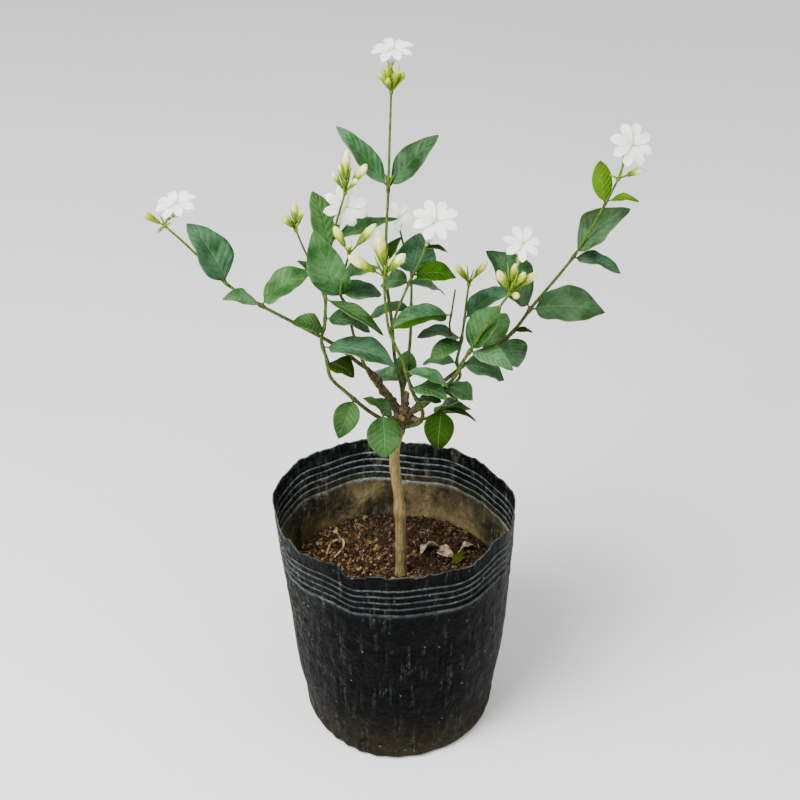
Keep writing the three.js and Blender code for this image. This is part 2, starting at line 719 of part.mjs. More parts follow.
function clusterSolid(cluster, stalks) {
  const joint = clusterJoint(cluster);
  const ball = new THREE.IcosahedronGeometry(jointRadius, 0).translate(joint.x, joint.y, joint.z);
  const solids = [toSolid(ball), ...stalks];
  for (const bud of cluster.buds) solids.push(budSolid(joint, bud));
  for (const [toward, rise, long] of cluster.sepals) {
    solids.push(sepalSolid(joint, { toward, rise, long }));
  }
  return joined(solids);
}

// A bloom's green stalk runs from a cluster's joint, or is a shoot's twig; the white tube goes on
// from the stalk's end to middle, where the corolla opens and looks out along its heading.
const blooms = {
  bloom_top: {
    cluster: 'buds_top',
    stalk: [[-4, 8, 441], [-4, 9, 447]],
    middle: [-3, 10, 456], toward: 260, rise: 78, across: 25, petals: 8,
  },
  bloom_far_right: {
    cluster: 'buds_far_right',
    stalk: [[129, 7, 386], [130, 6, 392]],
    middle: [133, 4, 402], toward: 290, rise: 35, across: 27, petals: 8,
  },
  bloom_inner_left: {
    stem: ['left_upright', 1],
    middle: [-30, 0.2, 366.6], toward: 268, rise: 2, across: 28, petals: 8,
  },
  bloom_middle: {
    stem: ['front_cane', 0],
    middle: [21, -27, 369], toward: 275, rise: 56, across: 28, petals: 8,
  },
  bloom_right: {
    cluster: 'buds_right',
    stalk: [[66, -19, 329], [69, -15, 335]],
    middle: [72, -8, 345], toward: 280, rise: 52, across: 24, petals: 7,
  },
  bloom_far_left: {
    cluster: 'buds_far_left',
    stalk: [[-136, 8, 353], [-134, 9, 354]],
    middle: [-130, 11, 361], toward: 235, rise: 70, across: 26, petals: 8,
  },
  bloom_behind: {
    stem: ['back_shoot', 0],
    middle: [0, 26, 346], toward: 275, rise: 40, across: 19, petals: 7,
  },
};

function stalkCurve(bloom) {
  if (bloom.stem) return stemCurve(bloom.stem);
  const joint = clusterJoint(clusters[bloom.cluster]);
  return routeCurve([joint.toArray(), ...bloom.stalk]);
}

const clusterStalks = (name) => Object.values(blooms)
  .filter((bloom) => bloom.cluster === name)
  .map((bloom) => rod(stalkCurve(bloom), tapered(0.7, 0.9), 5, 4));

function petalBlade(middle, axis, angle, radius) {
  const start = Math.abs(axis.z) > 0.9 ? new THREE.Vector3(1, 0, 0) : new THREE.Vector3(0, 0, 1);
  const across = start.addScaledVector(axis, -start.dot(axis)).normalize();
  const along = across.applyAxisAngle(axis, angle);
  const frame = { along, face: axis.clone(), side: new THREE.Vector3().crossVectors(along, axis) };
  const half = (radius * petalShape.slenderness) / 2;
  const stations = petalShape.outline.map(([share, fullness, lift]) => ({
    at: radius * share,
    lift: radius * lift,
    half: half * fullness,
    leftEdge: radius * petalShape.waver * fullness,
    rightEdge: radius * petalShape.waver * -0.6 * fullness,
    thick: petalShape.thickness,
  }));
  return slab(middle, frame, stations);
}

function bloomSolid(bloom) {
  const axis = heading(bloom.toward, bloom.rise);
  const middle = vector(bloom.middle);
  const stalk = stalkCurve(bloom);
  const onward = stalk.getTangent(1);
  const root = stalk.getPoint(1).addScaledVector(onward, fitGap);
  const neck = middle.clone().addScaledVector(axis, -2.5);
  const throat = middle.clone().addScaledVector(axis, petalShape.layerGap + 0.8);
  const tube = new THREE.CatmullRomCurve3([root, root.clone().addScaledVector(onward, 1.5), neck, throat]);
  const solids = [rod(tube, (share) => 0.9 + 0.9 * share ** 3, 5, 3)];
  for (let i = 0; i < bloom.petals; i += 1) {
    const layer = i % 2 === 0 ? petalShape.layerGap : 0;
    const from = middle.clone().addScaledVector(axis, layer);
    solids.push(petalBlade(from, axis, (i / bloom.petals) * turn + 0.3, bloom.across / 2));
  }
  return joined(solids);
}

// ---------- the whole plant ----------

const group = new THREE.Group();

function addNode(name, solid, colour, roughness) {
  const material = new THREE.MeshStandardMaterial({ color: colour, roughness, metalness: 0 });
  const mesh = new THREE.Mesh(toGeometry(solid), material);
  mesh.name = name;
  group.add(mesh);
}

const woodCutter = trunkSolid(fitGap);
const soilCutter = soilSolid(fitGap);
addNode('grow_bag', growBagSolid(), colours.polythene, 0.45);
addNode('potting_soil', largestBody(soilSolid(0).subtract(woodCutter)), colours.soil, 0.95);
addNode('trunk', trunkSolid(0), colours.bark, 0.85);
for (const [name, solid, colour] of litterSolids(soilCutter)) addNode(name, solid, colour, 0.8);
for (const [name, shoot] of Object.entries(shoots)) {
  addNode(name, largestBody(shootSolid(shoot).subtract(woodCutter)), colours.leaf, 0.5);
}
for (const [name, cluster] of Object.entries(clusters)) {
  addNode(name, clusterSolid(cluster, clusterStalks(name)), colours.bud, 0.5);
}
for (const [name, bloom] of Object.entries(blooms)) {
  addNode(name, bloomSolid(bloom), colours.petal, 0.45);
}

export default group;
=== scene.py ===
import math
import random

import bpy
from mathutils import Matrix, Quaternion, Vector, noise


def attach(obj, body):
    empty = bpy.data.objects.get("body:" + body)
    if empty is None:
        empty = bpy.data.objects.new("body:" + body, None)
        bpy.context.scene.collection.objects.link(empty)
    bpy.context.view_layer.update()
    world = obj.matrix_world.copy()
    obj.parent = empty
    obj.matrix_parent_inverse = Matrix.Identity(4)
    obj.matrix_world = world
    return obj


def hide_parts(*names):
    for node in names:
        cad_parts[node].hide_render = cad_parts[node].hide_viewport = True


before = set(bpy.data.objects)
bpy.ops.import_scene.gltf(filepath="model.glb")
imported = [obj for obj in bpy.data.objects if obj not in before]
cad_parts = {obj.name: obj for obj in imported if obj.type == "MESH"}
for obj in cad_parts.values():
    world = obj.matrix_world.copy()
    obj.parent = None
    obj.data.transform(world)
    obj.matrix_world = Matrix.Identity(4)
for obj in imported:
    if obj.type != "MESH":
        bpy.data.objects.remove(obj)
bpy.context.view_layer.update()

mm = 0.001
print("frame loaded:", len(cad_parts), "nodes")


# picking, joining and shaping pieces

def pick(piece):
    if bpy.context.object and bpy.context.object.mode != "OBJECT":
        bpy.ops.object.mode_set(mode="OBJECT")
    bpy.ops.object.select_all(action="DESELECT")
    piece.select_set(True)
    bpy.context.view_layer.objects.active = piece


def editAll(piece):
    pick(piece)
    bpy.ops.object.mode_set(mode="EDIT")
    bpy.ops.mesh.select_all(action="SELECT")


def closeEdit():  # faces turned outwards, and back to object mode
    bpy.ops.mesh.select_all(action="SELECT")
    bpy.ops.mesh.normals_make_consistent(inside=False)
    bpy.ops.object.mode_set(mode="OBJECT")


def applyAll(piece):
    pick(piece)
    for modifier in list(piece.modifiers):
        bpy.ops.object.modifier_apply(modifier=modifier.name)


def thicken(piece, thickness, offset=0, backSlot=0):
    skin = piece.modifiers.new("thickness", "SOLIDIFY")
    skin.thickness = thickness * mm
    skin.offset = offset
    skin.material_offset = backSlot
    skin.material_offset_rim = 0
    applyAll(piece)


def setIntoMesh(piece):  # the place, turn and size go into the mesh
    pick(piece)
    bpy.ops.object.transform_apply(location=True, rotation=True, scale=True)


def newPrimitive(name):  # the primitive that was just added
    piece = bpy.context.object
    piece.name = name
    setIntoMesh(piece)
    return piece


def copyOf(piece, name):
    twin = piece.copy()
    twin.data = piece.data.copy()
    twin.name = name
    bpy.context.scene.collection.objects.link(twin)
    return twin


def joinInto(parts, name):
    pick(parts[0])
    for part in parts:
        part.select_set(True)
    bpy.ops.object.join()
    whole = bpy.context.object
    whole.name = name
    whole.data.name = name
    return whole


def smooth(piece):
    pick(piece)
    bpy.ops.object.shade_smooth()


def drop(piece):
    bpy.data.objects.remove(piece)


def dress(piece, material):
    piece.data.materials.clear()
    piece.data.materials.append(material)


def joinDressed(parts, name, material):
    whole = joinInto(parts, name)
    dress(whole, material)
    smooth(whole)
    return whole


def finishPiece(piece, nodes):
    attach(piece, "root")
    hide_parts(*nodes)


# small discs whose outer edge is pulled into walls and beds

def startRing(name, sides, radius, height):
    bpy.ops.mesh.primitive_circle_add(
        vertices=sides, radius=radius * mm, fill_type="TRIFAN", location=(0, 0, height * mm))
    disc = newPrimitive(name)
    bpy.ops.object.mode_set(mode="EDIT")
    bpy.ops.mesh.select_all(action="DESELECT")
    bpy.ops.object.mode_set(mode="OBJECT")
    for edge in disc.data.edges:
        edge.select = all(disc.data.vertices[i].co.xy.length > 0.9 * radius * mm for i in edge.vertices)
    bpy.ops.object.mode_set(mode="EDIT")
    bpy.ops.mesh.select_mode(type="EDGE")
    return disc


def pullRing(radius, wide, low, high):  # from one radius and height to the next
    bpy.ops.mesh.extrude_edges_move(TRANSFORM_OT_translate={"value": (0, 0, (high - low) * mm)})
    bpy.ops.transform.resize(value=(wide / radius, wide / radius, 1), center_override=(0, 0, high * mm))


def makeGridBlank(name, columns, rows):  # flat, from -1 to 1 across and from 0 to 1 along Y
    bpy.ops.mesh.primitive_grid_add(x_subdivisions=columns, y_subdivisions=rows, size=2, location=(0, 0, 0))
    blank = newPrimitive(name)
    editAll(blank)
    bpy.ops.transform.translate(value=(0, 1, 0))
    bpy.ops.transform.resize(value=(1, 0.5, 1), center_override=(0, 0, 0))
    bpy.ops.object.mode_set(mode="OBJECT")
    return blank


def cutLevels(piece, heights):  # extra edges round the piece at these heights
    for height in heights:
        editAll(piece)
        bpy.ops.mesh.bisect(plane_co=(0, 0, height), plane_no=(0, 0, 1))
        bpy.ops.object.mode_set(mode="OBJECT")


# colours and node helpers

shading = {"tree": None}  # the node tree that the helpers add to


def asLight(tone):  # a web colour as linear light, and any other value as it is
    if not isinstance(tone, str):
        return tone
    parts = [int(tone[i:i + 2], 16) / 255 for i in (1, 3, 5)]
    return tuple(p / 12.92 if p <= 0.04045 else ((p + 0.055) / 1.055) ** 2.4 for p in parts) + (1.0,)


def newMaterial(name):
    material = bpy.data.materials.new(name)
    material.use_nodes = True
    shading["tree"] = material.node_tree
    return material, material.node_tree.nodes["Principled BSDF"]


def feed(node, key, value):
    if isinstance(value, bpy.types.NodeSocket):
        shading["tree"].links.new(value, node.inputs[key])
    else:
        node.inputs[key].default_value = asLight(value)


def addNode(kind, inputs, **settings):
    made = shading["tree"].nodes.new("ShaderNode" + kind)
    for key, value in settings.items():
        setattr(made, key, value)
    for key, value in inputs.items():
        feed(made, key, value)
    return made


def mix(factor, first, second, blend="MIX"):
    return addNode("Mix", {0: factor, 6: first, 7: second}, data_type="RGBA", blend_type=blend).outputs[2]


def maths(operation, first, second=0.0):
    return addNode("Math", {0: first, 1: second}, operation=operation).outputs[0]


def times(first, second):
    return maths("MULTIPLY", first, second)


def plus(first, second):
    return maths("ADD", first, second)


def minus(first, second):
    return maths("SUBTRACT", first, second)


def spread(value, low, high, outLow=0.0, outHigh=1.0):  # a smooth step from low to high
    inputs = dict(enumerate((value, low, high, outLow, outHigh)))
    return addNode("MapRange", inputs, interpolation_type="SMOOTHSTEP").outputs[0]


def objectPlace(stretch=None):
    coordinates = addNode("TexCoord", {}).outputs["Object"]
    if stretch is None:
        return coordinates
    return addNode("Mapping", {"Vector": coordinates, "Scale": stretch}).outputs[0]


def grain(place, scale, detail=3.0, roughness=0.5, distortion=0.0):
    return addNode("TexNoise", {
        "Vector": place, "Scale": scale, "Detail": detail, "Roughness": roughness, "Distortion": distortion,
    }).outputs[0]


def cellEdges(place, scale):  # how far it is to the nearest edge of a net of cells
    return addNode("TexVoronoi", {"Vector": place, "Scale": scale}, feature="DISTANCE_TO_EDGE").outputs[0]


def attribute(name, output="Fac"):
    return addNode("Attribute", {}, attribute_name=name).outputs[output]


def bumpFrom(height, strength, distance, under=None):
    inputs = {"Height": height, "Strength": strength, "Distance": distance}
    return addNode("Bump", inputs if under is None else {**inputs, "Normal": under}).outputs[0]


def blendColours(first, second, share):
    share = min(1.0, max(0.0, share))
    return tuple(a + (b - a) * share for a, b in zip(asLight(first), asLight(second)))


def paint(piece, tones):  # one tint for the whole piece, or a list with one for each point
    if not isinstance(tones, list):
        tones = [tones] * len(piece.data.vertices)
    layer = piece.data.color_attributes.get("tint")
    layer = layer or piece.data.color_attributes.new("tint", "FLOAT_COLOR", "POINT")
    layer.data.foreach_set("color", [part for tone in tones for part in asLight(tone)])


def setValue(piece, name, values):
    layer = piece.data.attributes.new(name, "FLOAT", "POINT")
    layer.data.foreach_set("value", values)


# camera, floor and light

viewpoint = {
    "location": (0.001, -0.9379, 0.8087),  # metres
    "tilt": 58.5,  # degrees up from straight down
    "lens": 80,
    "sensor": 36,
    "nearest": 0.01,
}
studio = {
    "floorSize": 6,
    "floorHeight": -0.0002,
    "floorColours": ("#efefee", "#f2f2f0"),
    "floorRoughness": 0.9,
    "skyColour": "#ffffff",
    "skyStrength": 0.86,
    "lampTarget": (0, 0, 0.2),
    "lamps": {  # power in watts, then the size and place in metres
        "keyLight": (58, 1.1, (-0.75, -0.7, 1.35)),
        "fillLight": (8, 1.4, (0.95, -0.8, 0.9)),
    },
}


def placeCamera():
    camera = bpy.data.cameras.new("viewCamera")
    camera.lens = viewpoint["lens"]
    camera.sensor_width = viewpoint["sensor"]
    camera.clip_start = viewpoint["nearest"]
    holder = bpy.data.objects.new("viewCamera", camera)
    holder.location = viewpoint["location"]
    holder.rotation_euler = (math.radians(viewpoint["tilt"]), 0, 0)
    bpy.context.scene.collection.objects.link(holder)
    bpy.context.scene.camera = holder


def addLamp(name, energy, size, place):
    lamp = bpy.data.lights.new(name, "AREA")
    lamp.energy = energy
    lamp.shape = "DISK"
    lamp.size = size
    holder = bpy.data.objects.new(name, lamp)
    holder.location = place
    aim = Vector(studio["lampTarget"]) - Vector(place)
    holder.rotation_euler = aim.to_track_quat("-Z", "Y").to_euler()
    bpy.context.scene.collection.objects.link(holder)


def layFloor():
    bpy.ops.mesh.primitive_plane_add(size=studio["floorSize"], location=(0, 0, studio["floorHeight"]))
    floor = bpy.context.object
    floor.name = "floor"
    material, shader = newMaterial("paleFloor")
    clouds = grain(objectPlace(), 3, 2)
    feed(shader, "Base Color", mix(spread(clouds, 0.3, 0.7), *studio["floorColours"]))
    feed(shader, "Roughness", studio["floorRoughness"])
    dress(floor, material)


placeCamera()
layFloor()
world = bpy.data.worlds.new("softStudio")
bpy.context.scene.world = world
world.use_nodes = True
sky = world.node_tree.nodes["Background"].inputs
sky["Color"].default_value = asLight(studio["skyColour"])
sky["Strength"].default_value = studio["skyStrength"]
for lampName, facts in studio["lamps"].items():
    addLamp(lampName, *facts)
print("camera, floor and light set")


# curves that stems follow

def routePoint(route, share):  # a centripetal Catmull-Rom curve through the route's points
    points = [Vector(p) for p in route]
    last = len(points) - 1
    index = min(int(last * share), last - 1)
    w = last * share - index
    before = points[index - 1] if index > 0 else points[0] * 2 - points[1]
    here, there = points[index], points[index + 1]
    after = points[index + 2] if index + 2 <= last else points[last] * 2 - points[last - 1]
    pairs = ((before, here), (here, there), (there, after))
    step = [max((a - b).length_squared ** 0.25, 1e-4) for a, b in pairs]
    middle = (there - here) / step[1]
    startSlope = (here - before) / step[0] - (there - before) / (step[0] + step[1]) + middle
    endSlope = middle - (after - here) / (step[1] + step[2]) + (after - there) / step[2]
    startSlope, endSlope = startSlope * step[1], endSlope * step[1]
    return (
        here * (2 * w**3 - 3 * w**2 + 1) + there * (3 * w**2 - 2 * w**3)
        + startSlope * (w**3 - 2 * w**2 + w) + endSlope * (w**3 - w**2)
    )


def walkRoute(route, pitch):  # points an even step apart along the curve
    fine = [routePoint(route, i / 200) for i in range(201)]
    length = [0.0]
    for a, b in zip(fine, fine[1:]):
        length.append(length[-1] + (b - a).length)
    count = max(3, round(length[-1] / pitch))
    walked, at = [], 0
    for i in range(count + 1):
        wanted = length[-1] * i / count
        while at < 199 and length[at + 1] < wanted:
            at += 1
        share = (wanted - length[at]) / max(1e-9, length[at + 1] - length[at])
        walked.append(fine[at].lerp(fine[at + 1], min(1.0, share)))
    return walked


def roundRod(points, radii, name, sides=10):  # a bevelled curve made a closed mesh, in millimetres
    curve = bpy.data.curves.new(name, "CURVE")
    curve.dimensions = "3D"
    curve.bevel_depth = mm
    curve.bevel_resolution = (sides - 4) // 2
    curve.use_fill_caps = True
    spline = curve.splines.new("POLY")
    spline.points.add(len(points) - 1)
    for knot, point, radius in zip(spline.points, points, radii):
        knot.co = (*(point * mm), 1)
        knot.radius = radius
    holder = bpy.data.objects.new(name, curve)
    bpy.context.scene.collection.objects.link(holder)
    pick(holder)
    bpy.ops.object.convert(target="MESH")
    rod = bpy.context.object
    editAll(rod)
    bpy.ops.mesh.remove_doubles(threshold=1e-6)
    closeEdit()
    return rod


def heading(toward, rise):  # the way of a compass angle and a rise, both in degrees
    across, up = math.radians(toward), math.radians(rise)
    return Vector((math.cos(across) * math.cos(up), math.sin(across) * math.cos(up), math.sin(up)))


def bell(apart, wide):  # 1 in the middle, falling off smoothly on both sides
    return math.exp(-((apart / wide) ** 2))


def lookUp(table, value):  # a straight run between the table's rows of (result, value)
    for (lowResult, low), (highResult, high) in zip(table, table[1:]):
        if value <= high:
            return lowResult + (highResult - lowResult) * (value - low) / max(1e-9, high - low)
    return table[-1][0]


# grow bag

growBag = {
    "height": 155,  # millimetres, as all sizes of the pieces
    "sides": 180,
    "film": 0.7,
    "startRadius": 20,
    "foot": [(40, 0), (54, 0), (60.5, 0), (63, 0.6), (64.8, 2.2), (65.6, 5), (66, 10)],  # radius and height
    "plainStep": 3,  # between the wall's levels up to the rings
    "ringStep": 0.7,
    "lipStep": 1.6,
    "rings": 5,
    "firstRingDrop": 10.5,
    "ringPitch": 4.9,
    "ringRise": 0.55,
    "wallProfile": [(0, 0), (59, 0), (63, 2.5), (65.2, 10), (69.4, 44), (74.6, 112), (78, 155)],
    "mouthShift": -3,
    "lipWave": 1.6,
    "lipSwings": [(-112, -4.5, 8), (-38, 8, 14)],  # angle in degrees, lift and spread
    "lipTears": [
        (-149, 3.6, 4), (-141.5, -2.2, 3), (-121, 2.6, 4), (-113, -2.4, 3.4), (-82, -1.2, 4), (-61, 1.4, 3)],
    "creases": [  # angle in degrees round from +X, depth, width in degrees, lowest and highest height
        (-121, 0.8, 2.2, 4, 132), (-94, 0.9, 1.8, 0, 150), (-70, 0.7, 2.4, 8, 128), (-46, 0.9, 2.0, 0, 140),
        (-150, 0.8, 2.6, 0, 120), (-20, 0.7, 2.4, 12, 150), (12, 0.8, 2.2, 0, 132), (48, 0.7, 2.6, 6, 120),
        (88, 0.9, 2.0, 0, 155), (128, 0.8, 2.4, 0, 136), (168, 0.7, 2.2, 10, 124), (-107, 0.45, 1.4, 50, 118),
        (-58, 0.4, 1.3, 20, 90), (66, 0.6, 1.6, 100, 155), (40, 0.5, 1.6, 98, 150), (112, 0.5, 1.8, 98, 152),
    ],
    "belts": [(97, 0.5, 3.0), (62, 0.4, 3.4), (30, 0.35, 3.0)],  # height, depth and width of soft level folds
}
filmLook = {  # outside and inside
    "deep": ("#010102", "#080b0c"),
    "base": ("#040608", "#161a19"),
    "dust": ("#545750", "#454a42"),
    "rightGreyShare": (0.06, 0.6),  # share of the grey that lies on the right
    "earth": ("#272417", "#453d29"),
    "paleEarth": ("#3a3424", "#7d6d49"),
    "earthEdge": ((0.046, -0.012), (0.134, 0.112)),  # none above the first height, full below the second
    "edgeWave": (0.09, 0.03),
    "earthThin": (0.3, 0.62),
    "earthBare": (0.45, 0.3),
    "scuffs": (0.16, 0.25),
    "scuffTone": ("#7f8379", "#7f8379"),
    "grit": (0.4, 0.2),
    "gritTone": ("#8d8a7c", "#8d8a7c"),
    # painted highlight: the strength and tone of pale lines on the ridges of small folds
    "ridges": (0.3, 0.3),
    "ridgeHighlightTone": ("#585c56", "#8f8f84"),
    # the next two paint the rings' crests and creases pale: partly rubbed film, partly painted highlight
    "rubAndHighlight": (0.55, 0.85),
    "ringTone": ("#6f7877", "#98a19e"),
    "netScale": (85, 70),
    "shine": (0.03, 0.05),
}


def wallRadius(height):
    return lookUp(growBag["wallProfile"][1:], height)


def wallRipple(angle, height):
    share = height / growBag["height"]
    oval = 2.2 * share * math.cos(2 * (angle - 2.3))
    lean = growBag["mouthShift"] * share**2 * math.cos(angle)
    pleats = 0.7 * math.sin(7 * angle + 0.6) + 0.4 * math.sin(11 * angle)
    return oval + lean + pleats * min(1, share * 4)


def bellSum(rows, degrees):  # smooth humps, each a row of place, rise and spread in degrees
    return sum(rise * bell(degrees - at, wide) for at, rise, wide in rows)


def lipLift(angle):
    wave = growBag["lipWave"] * (math.sin(3 * angle + 0.5) * 0.7 + math.sin(8 * angle) * 0.45)
    return wave + bellSum(growBag["lipSwings"], math.degrees(angle))


def raggedLift(angle):  # the torn, stretched lip's own small steps
    way = Vector((math.cos(angle), math.sin(angle), 0))
    torn = bellSum(growBag["lipTears"], math.degrees(angle))
    return torn + 1.2 * noise.noise(way * 9) + 1.3 * noise.noise(way * 23 + Vector((0, 0, 4)))


def creaseApart(angle, height, at):  # degrees from a crease, which leans to and fro as it climbs
    return (math.degrees(angle) - at - 1.5 * math.sin(height * 0.05 + at) + 180) % 360 - 180


def filmWrinkle(angle, height):
    away = 0.0
    for at, depth, width, low, high in growBag["creases"]:
        apart = creaseApart(angle, height, at)
        if abs(apart) > width * 4 or not low - 12 < height < high + 12:
            continue
        fade = min(1, max(0, (height - low + 12) / 24)) * min(1, max(0, (high + 12 - height) / 24))
        side = 1 if apart > 0 else 0.55
        away -= depth * fade * side * math.exp(-abs(apart) / width * 1.6)
    for at, depth, width in growBag["belts"]:
        away -= depth * bell(height - at - 3 * math.sin(angle * 3 + at), width)
    spot = Vector((math.cos(angle) * 3.2, math.sin(angle) * 3.2, height * 0.024))
    ridges = noise.noise(spot) + 0.6 * (0.5 - abs(noise.noise(spot * 2.6 + Vector((7, 0, 0))))) * 2
    fine = 0.5 - abs(noise.noise(spot * 6.5))
    calm = 0.35 if height > 126 else 1.0
    return away + (0.75 * ridges + 0.3 * fine) * min(1, height / 25) * calm


def creaseRubAndHighlight(angle, height):  # how far an upright crease is painted pale: partly dust rubbed off, partly painted highlight
    rubbedAndLit = 0.0
    for at, depth, width, low, high in growBag["creases"]:
        apart = creaseApart(angle, height, at)
        if abs(apart) < 4 and low < height < min(high, 124):
            rubbedAndLit = max(rubbedAndLit, depth * bell(apart, 1.1))
    return rubbedAndLit


def ringRise(height):
    top = growBag["height"] - growBag["firstRingDrop"]
    lowest = top - (growBag["rings"] - 1) * growBag["ringPitch"]
    if not lowest - 2.4 < height < top + 2.4:
        return 0.0
    phase = (height - lowest) / growBag["ringPitch"]
    return bell((phase + 0.5) % 1 - 0.5, 0.17)


def wallLevels():  # radius and height of each level, closest together at the rings
    height = growBag["height"]
    levels = growBag["foot"] + [(wallRadius(z), z) for z in range(13, 124, growBag["plainStep"])]
    level = 124.4
    while level < height - 0.5:
        levels.append((wallRadius(level), level))
        level += growBag["ringStep"] if level < 147.2 else growBag["lipStep"]
    return levels + [(wallRadius(height), height)]


def makeGrowBag():
    height = growBag["height"]
    bag = startRing("growBag", growBag["sides"], growBag["startRadius"], 0)
    levels = [(growBag["startRadius"], 0)] + wallLevels()
    for (radius, low), (wide, high) in zip(levels, levels[1:]):
        pullRing(radius, wide, low, high)
    closeEdit()
    crest = []
    for vertex in bag.data.vertices:
        x, y, z = vertex.co / mm
        reach, angle = math.hypot(x, y), math.atan2(y, x)
        ring = ringRise(z)
        # the rings' crests, the creases and the lip's top edge are marked to be painted pale: partly rubbed
        # film, partly painted highlight
        crest.append(max(ring, 0.5 * creaseRubAndHighlight(angle, z)) if z < height - 0.6 else 0.7)
        near = min(1, reach / 50)
        if reach < 1e-3:
            continue
        push = (wallRipple(angle, z) + filmWrinkle(angle, z)) * near + growBag["ringRise"] * ring
        uneven = 0.5 + noise.noise(Vector((math.cos(angle) * 2, math.sin(angle) * 2, 6)))
        crimp = 0.9 * math.sin(angle * 29 + 4 * math.sin(angle * 3)) * max(0, 1 - abs(z - 5) / 12) * uneven
        crimp *= 0.3 + max(0, math.cos(angle + 2.3)) if reach > 50 else 0
        low = max(0, 1 - z / 62) ** 1.3 * near
        oval = 2.5 * math.cos(2 * angle) + 0.6 * math.cos(angle) - 2.2 * bell(math.degrees(angle) + 104, 24)
        tuck = (oval + 2 * max(0, math.cos(angle - 3.6)) ** 2) * low * near
        curl = 0.8 * noise.noise(Vector((math.cos(angle), math.sin(angle), 3)) * 4) * max(0, (z - 146) / 9)
        reach += push + crimp + curl - tuck
        lift = lipLift(angle) * max(0, (z - height / 2) / (height / 2))
        lift += raggedLift(angle) * max(0, (z - 147) / 8)
        sag = 1.1 * noise.noise(Vector((math.cos(angle), math.sin(angle), 1)) * 3) if 20 < z < 147 else 0
        vertex.co = Vector((reach * math.cos(angle), reach * math.sin(angle), z + lift + sag)) * mm
        if z < 0.01:
            vertex.co.z = 0
    setValue(bag, "ringCrest", crest)
    bag.data.materials.append(bagOutside)
    bag.data.materials.append(bagInside)
    thicken(bag, growBag["film"], -1, 1)
    smooth(bag)
    return bag


def plasticMaterial(name, side):
    look = {key: pair[side] for key, pair in filmLook.items()}
    material, shader = newMaterial(name)
    place = objectPlace()
    broad = grain(place, 22, 4, 0.6)
    streak = grain(objectPlace((1, 1, 0.16)), 170, 4, 0.65)
    mottle = grain(place, 260, 5, 0.75)
    speck = grain(place, 900, 2, 0.6)
    parts = addNode("SeparateXYZ", {"Vector": place}).outputs
    base = mix(spread(mottle, 0.42, 0.66), look["deep"], look["base"])

    # grey dust in patches and streaks, laid on more strongly towards the left
    leftward = spread(plus(parts["X"], times(broad, 0.05)), 0.0, -0.06, look["rightGreyShare"], 1.0)
    wear = times(spread(broad, 0.36, 0.68, 0.04, 1.0), spread(streak, 0.35, 0.75, 0.25, 1.0))
    wear = times(wear, leftward)
    colour = mix(times(wear, spread(mottle, 0.42, 0.62, 0.1, 1.0)), base, look["dust"])

    # splashed earth with an uneven edge and bare patches
    ramp = plus(parts["Z"], times(minus(broad, 0.5), look["edgeWave"]))
    earth = times(spread(ramp, *look["earthEdge"]), spread(mottle, 0.3, 0.62, look["earthThin"], 1.0))
    earth = times(earth, spread(grain(place, 42, 5, 0.7), 0.36, 0.52, look["earthBare"], 1.0))
    colour = mix(earth, colour, mix(spread(broad, 0.4, 0.62), look["earth"], look["paleEarth"]))

    # scuffs, grit, painted highlight on the ridges of small folds, and the rings' crests painted pale: partly
    # rubbed film, partly painted highlight
    scuff = grain(objectPlace((1, 1, 0.2)), 380, 2, 0.5, 0.4)
    marks = times(spread(scuff, 0.64, 0.72), spread(grain(place, 60, 3, 0.6), 0.5, 0.62))
    colour = mix(times(marks, look["scuffs"]), colour, look["scuffTone"])
    grit = spread(grain(place, 330, 1, 0.4), 0.765, 0.785)
    colour = mix(times(grit, look["grit"]), colour, look["gritTone"])
    # painted highlight: fine upright pale lines along the ridges of small folds
    thread = grain(objectPlace((1, 1, 0.09)), 230, 4, 0.62, 0.3)
    ridgeHighlight = times(spread(thread, 0.53, 0.68), spread(mottle, 0.4, 0.66))
    colour = mix(times(ridgeHighlight, look["ridges"]), colour, look["ridgeHighlightTone"])
    rubbedAndLit = times(spread(attribute("ringCrest"), 0.2, 0.95), spread(mottle, 0.34, 0.6, 0.3, 1.0))
    rubbedAndLit = times(rubbedAndLit, spread(broad, 0.36, 0.62, 0.45, 1.0))
    feed(shader, "Base Color", mix(times(rubbedAndLit, look["rubAndHighlight"]), colour, look["ringTone"]))
    rough = plus(times(wear, 0.35), spread(broad, 0.3, 0.7, 0.4, 0.55))
    feed(shader, "Roughness", plus(rough, times(earth, 0.25)))
    feed(shader, "Specular IOR Level", look["shine"])

    # crinkles: broad folds, a net of bent creases and fine specks
    shift = addNode("TexNoise", {"Vector": place, "Scale": 34, "Detail": 4, "Roughness": 0.6}).outputs[1]
    shift = addNode("VectorMath", {0: shift, 3: 0.03}, operation="SCALE").outputs[0]
    bent = addNode("VectorMath", {0: objectPlace((1, 1, 0.55)), 1: shift}, operation="ADD").outputs[0]
    folds = bumpFrom(grain(objectPlace((1, 1, 0.45)), 95, 5, 0.62, 0.6), 0.6, 0.003)
    folds = bumpFrom(spread(cellEdges(bent, look["netScale"]), 0.12, 0.0), 0.3, 0.0008, folds)
    feed(shader, "Normal", bumpFrom(speck, 0.25, 0.0003, folds))
    return material


bagOutside = plasticMaterial("blackPolythene", 0)
bagInside = plasticMaterial("dustyPolythene", 1)
bag = makeGrowBag()
finishPiece(bag, ["grow_bag"])
print("grow bag made:", len(bag.data.polygons), "faces")


# potting soil

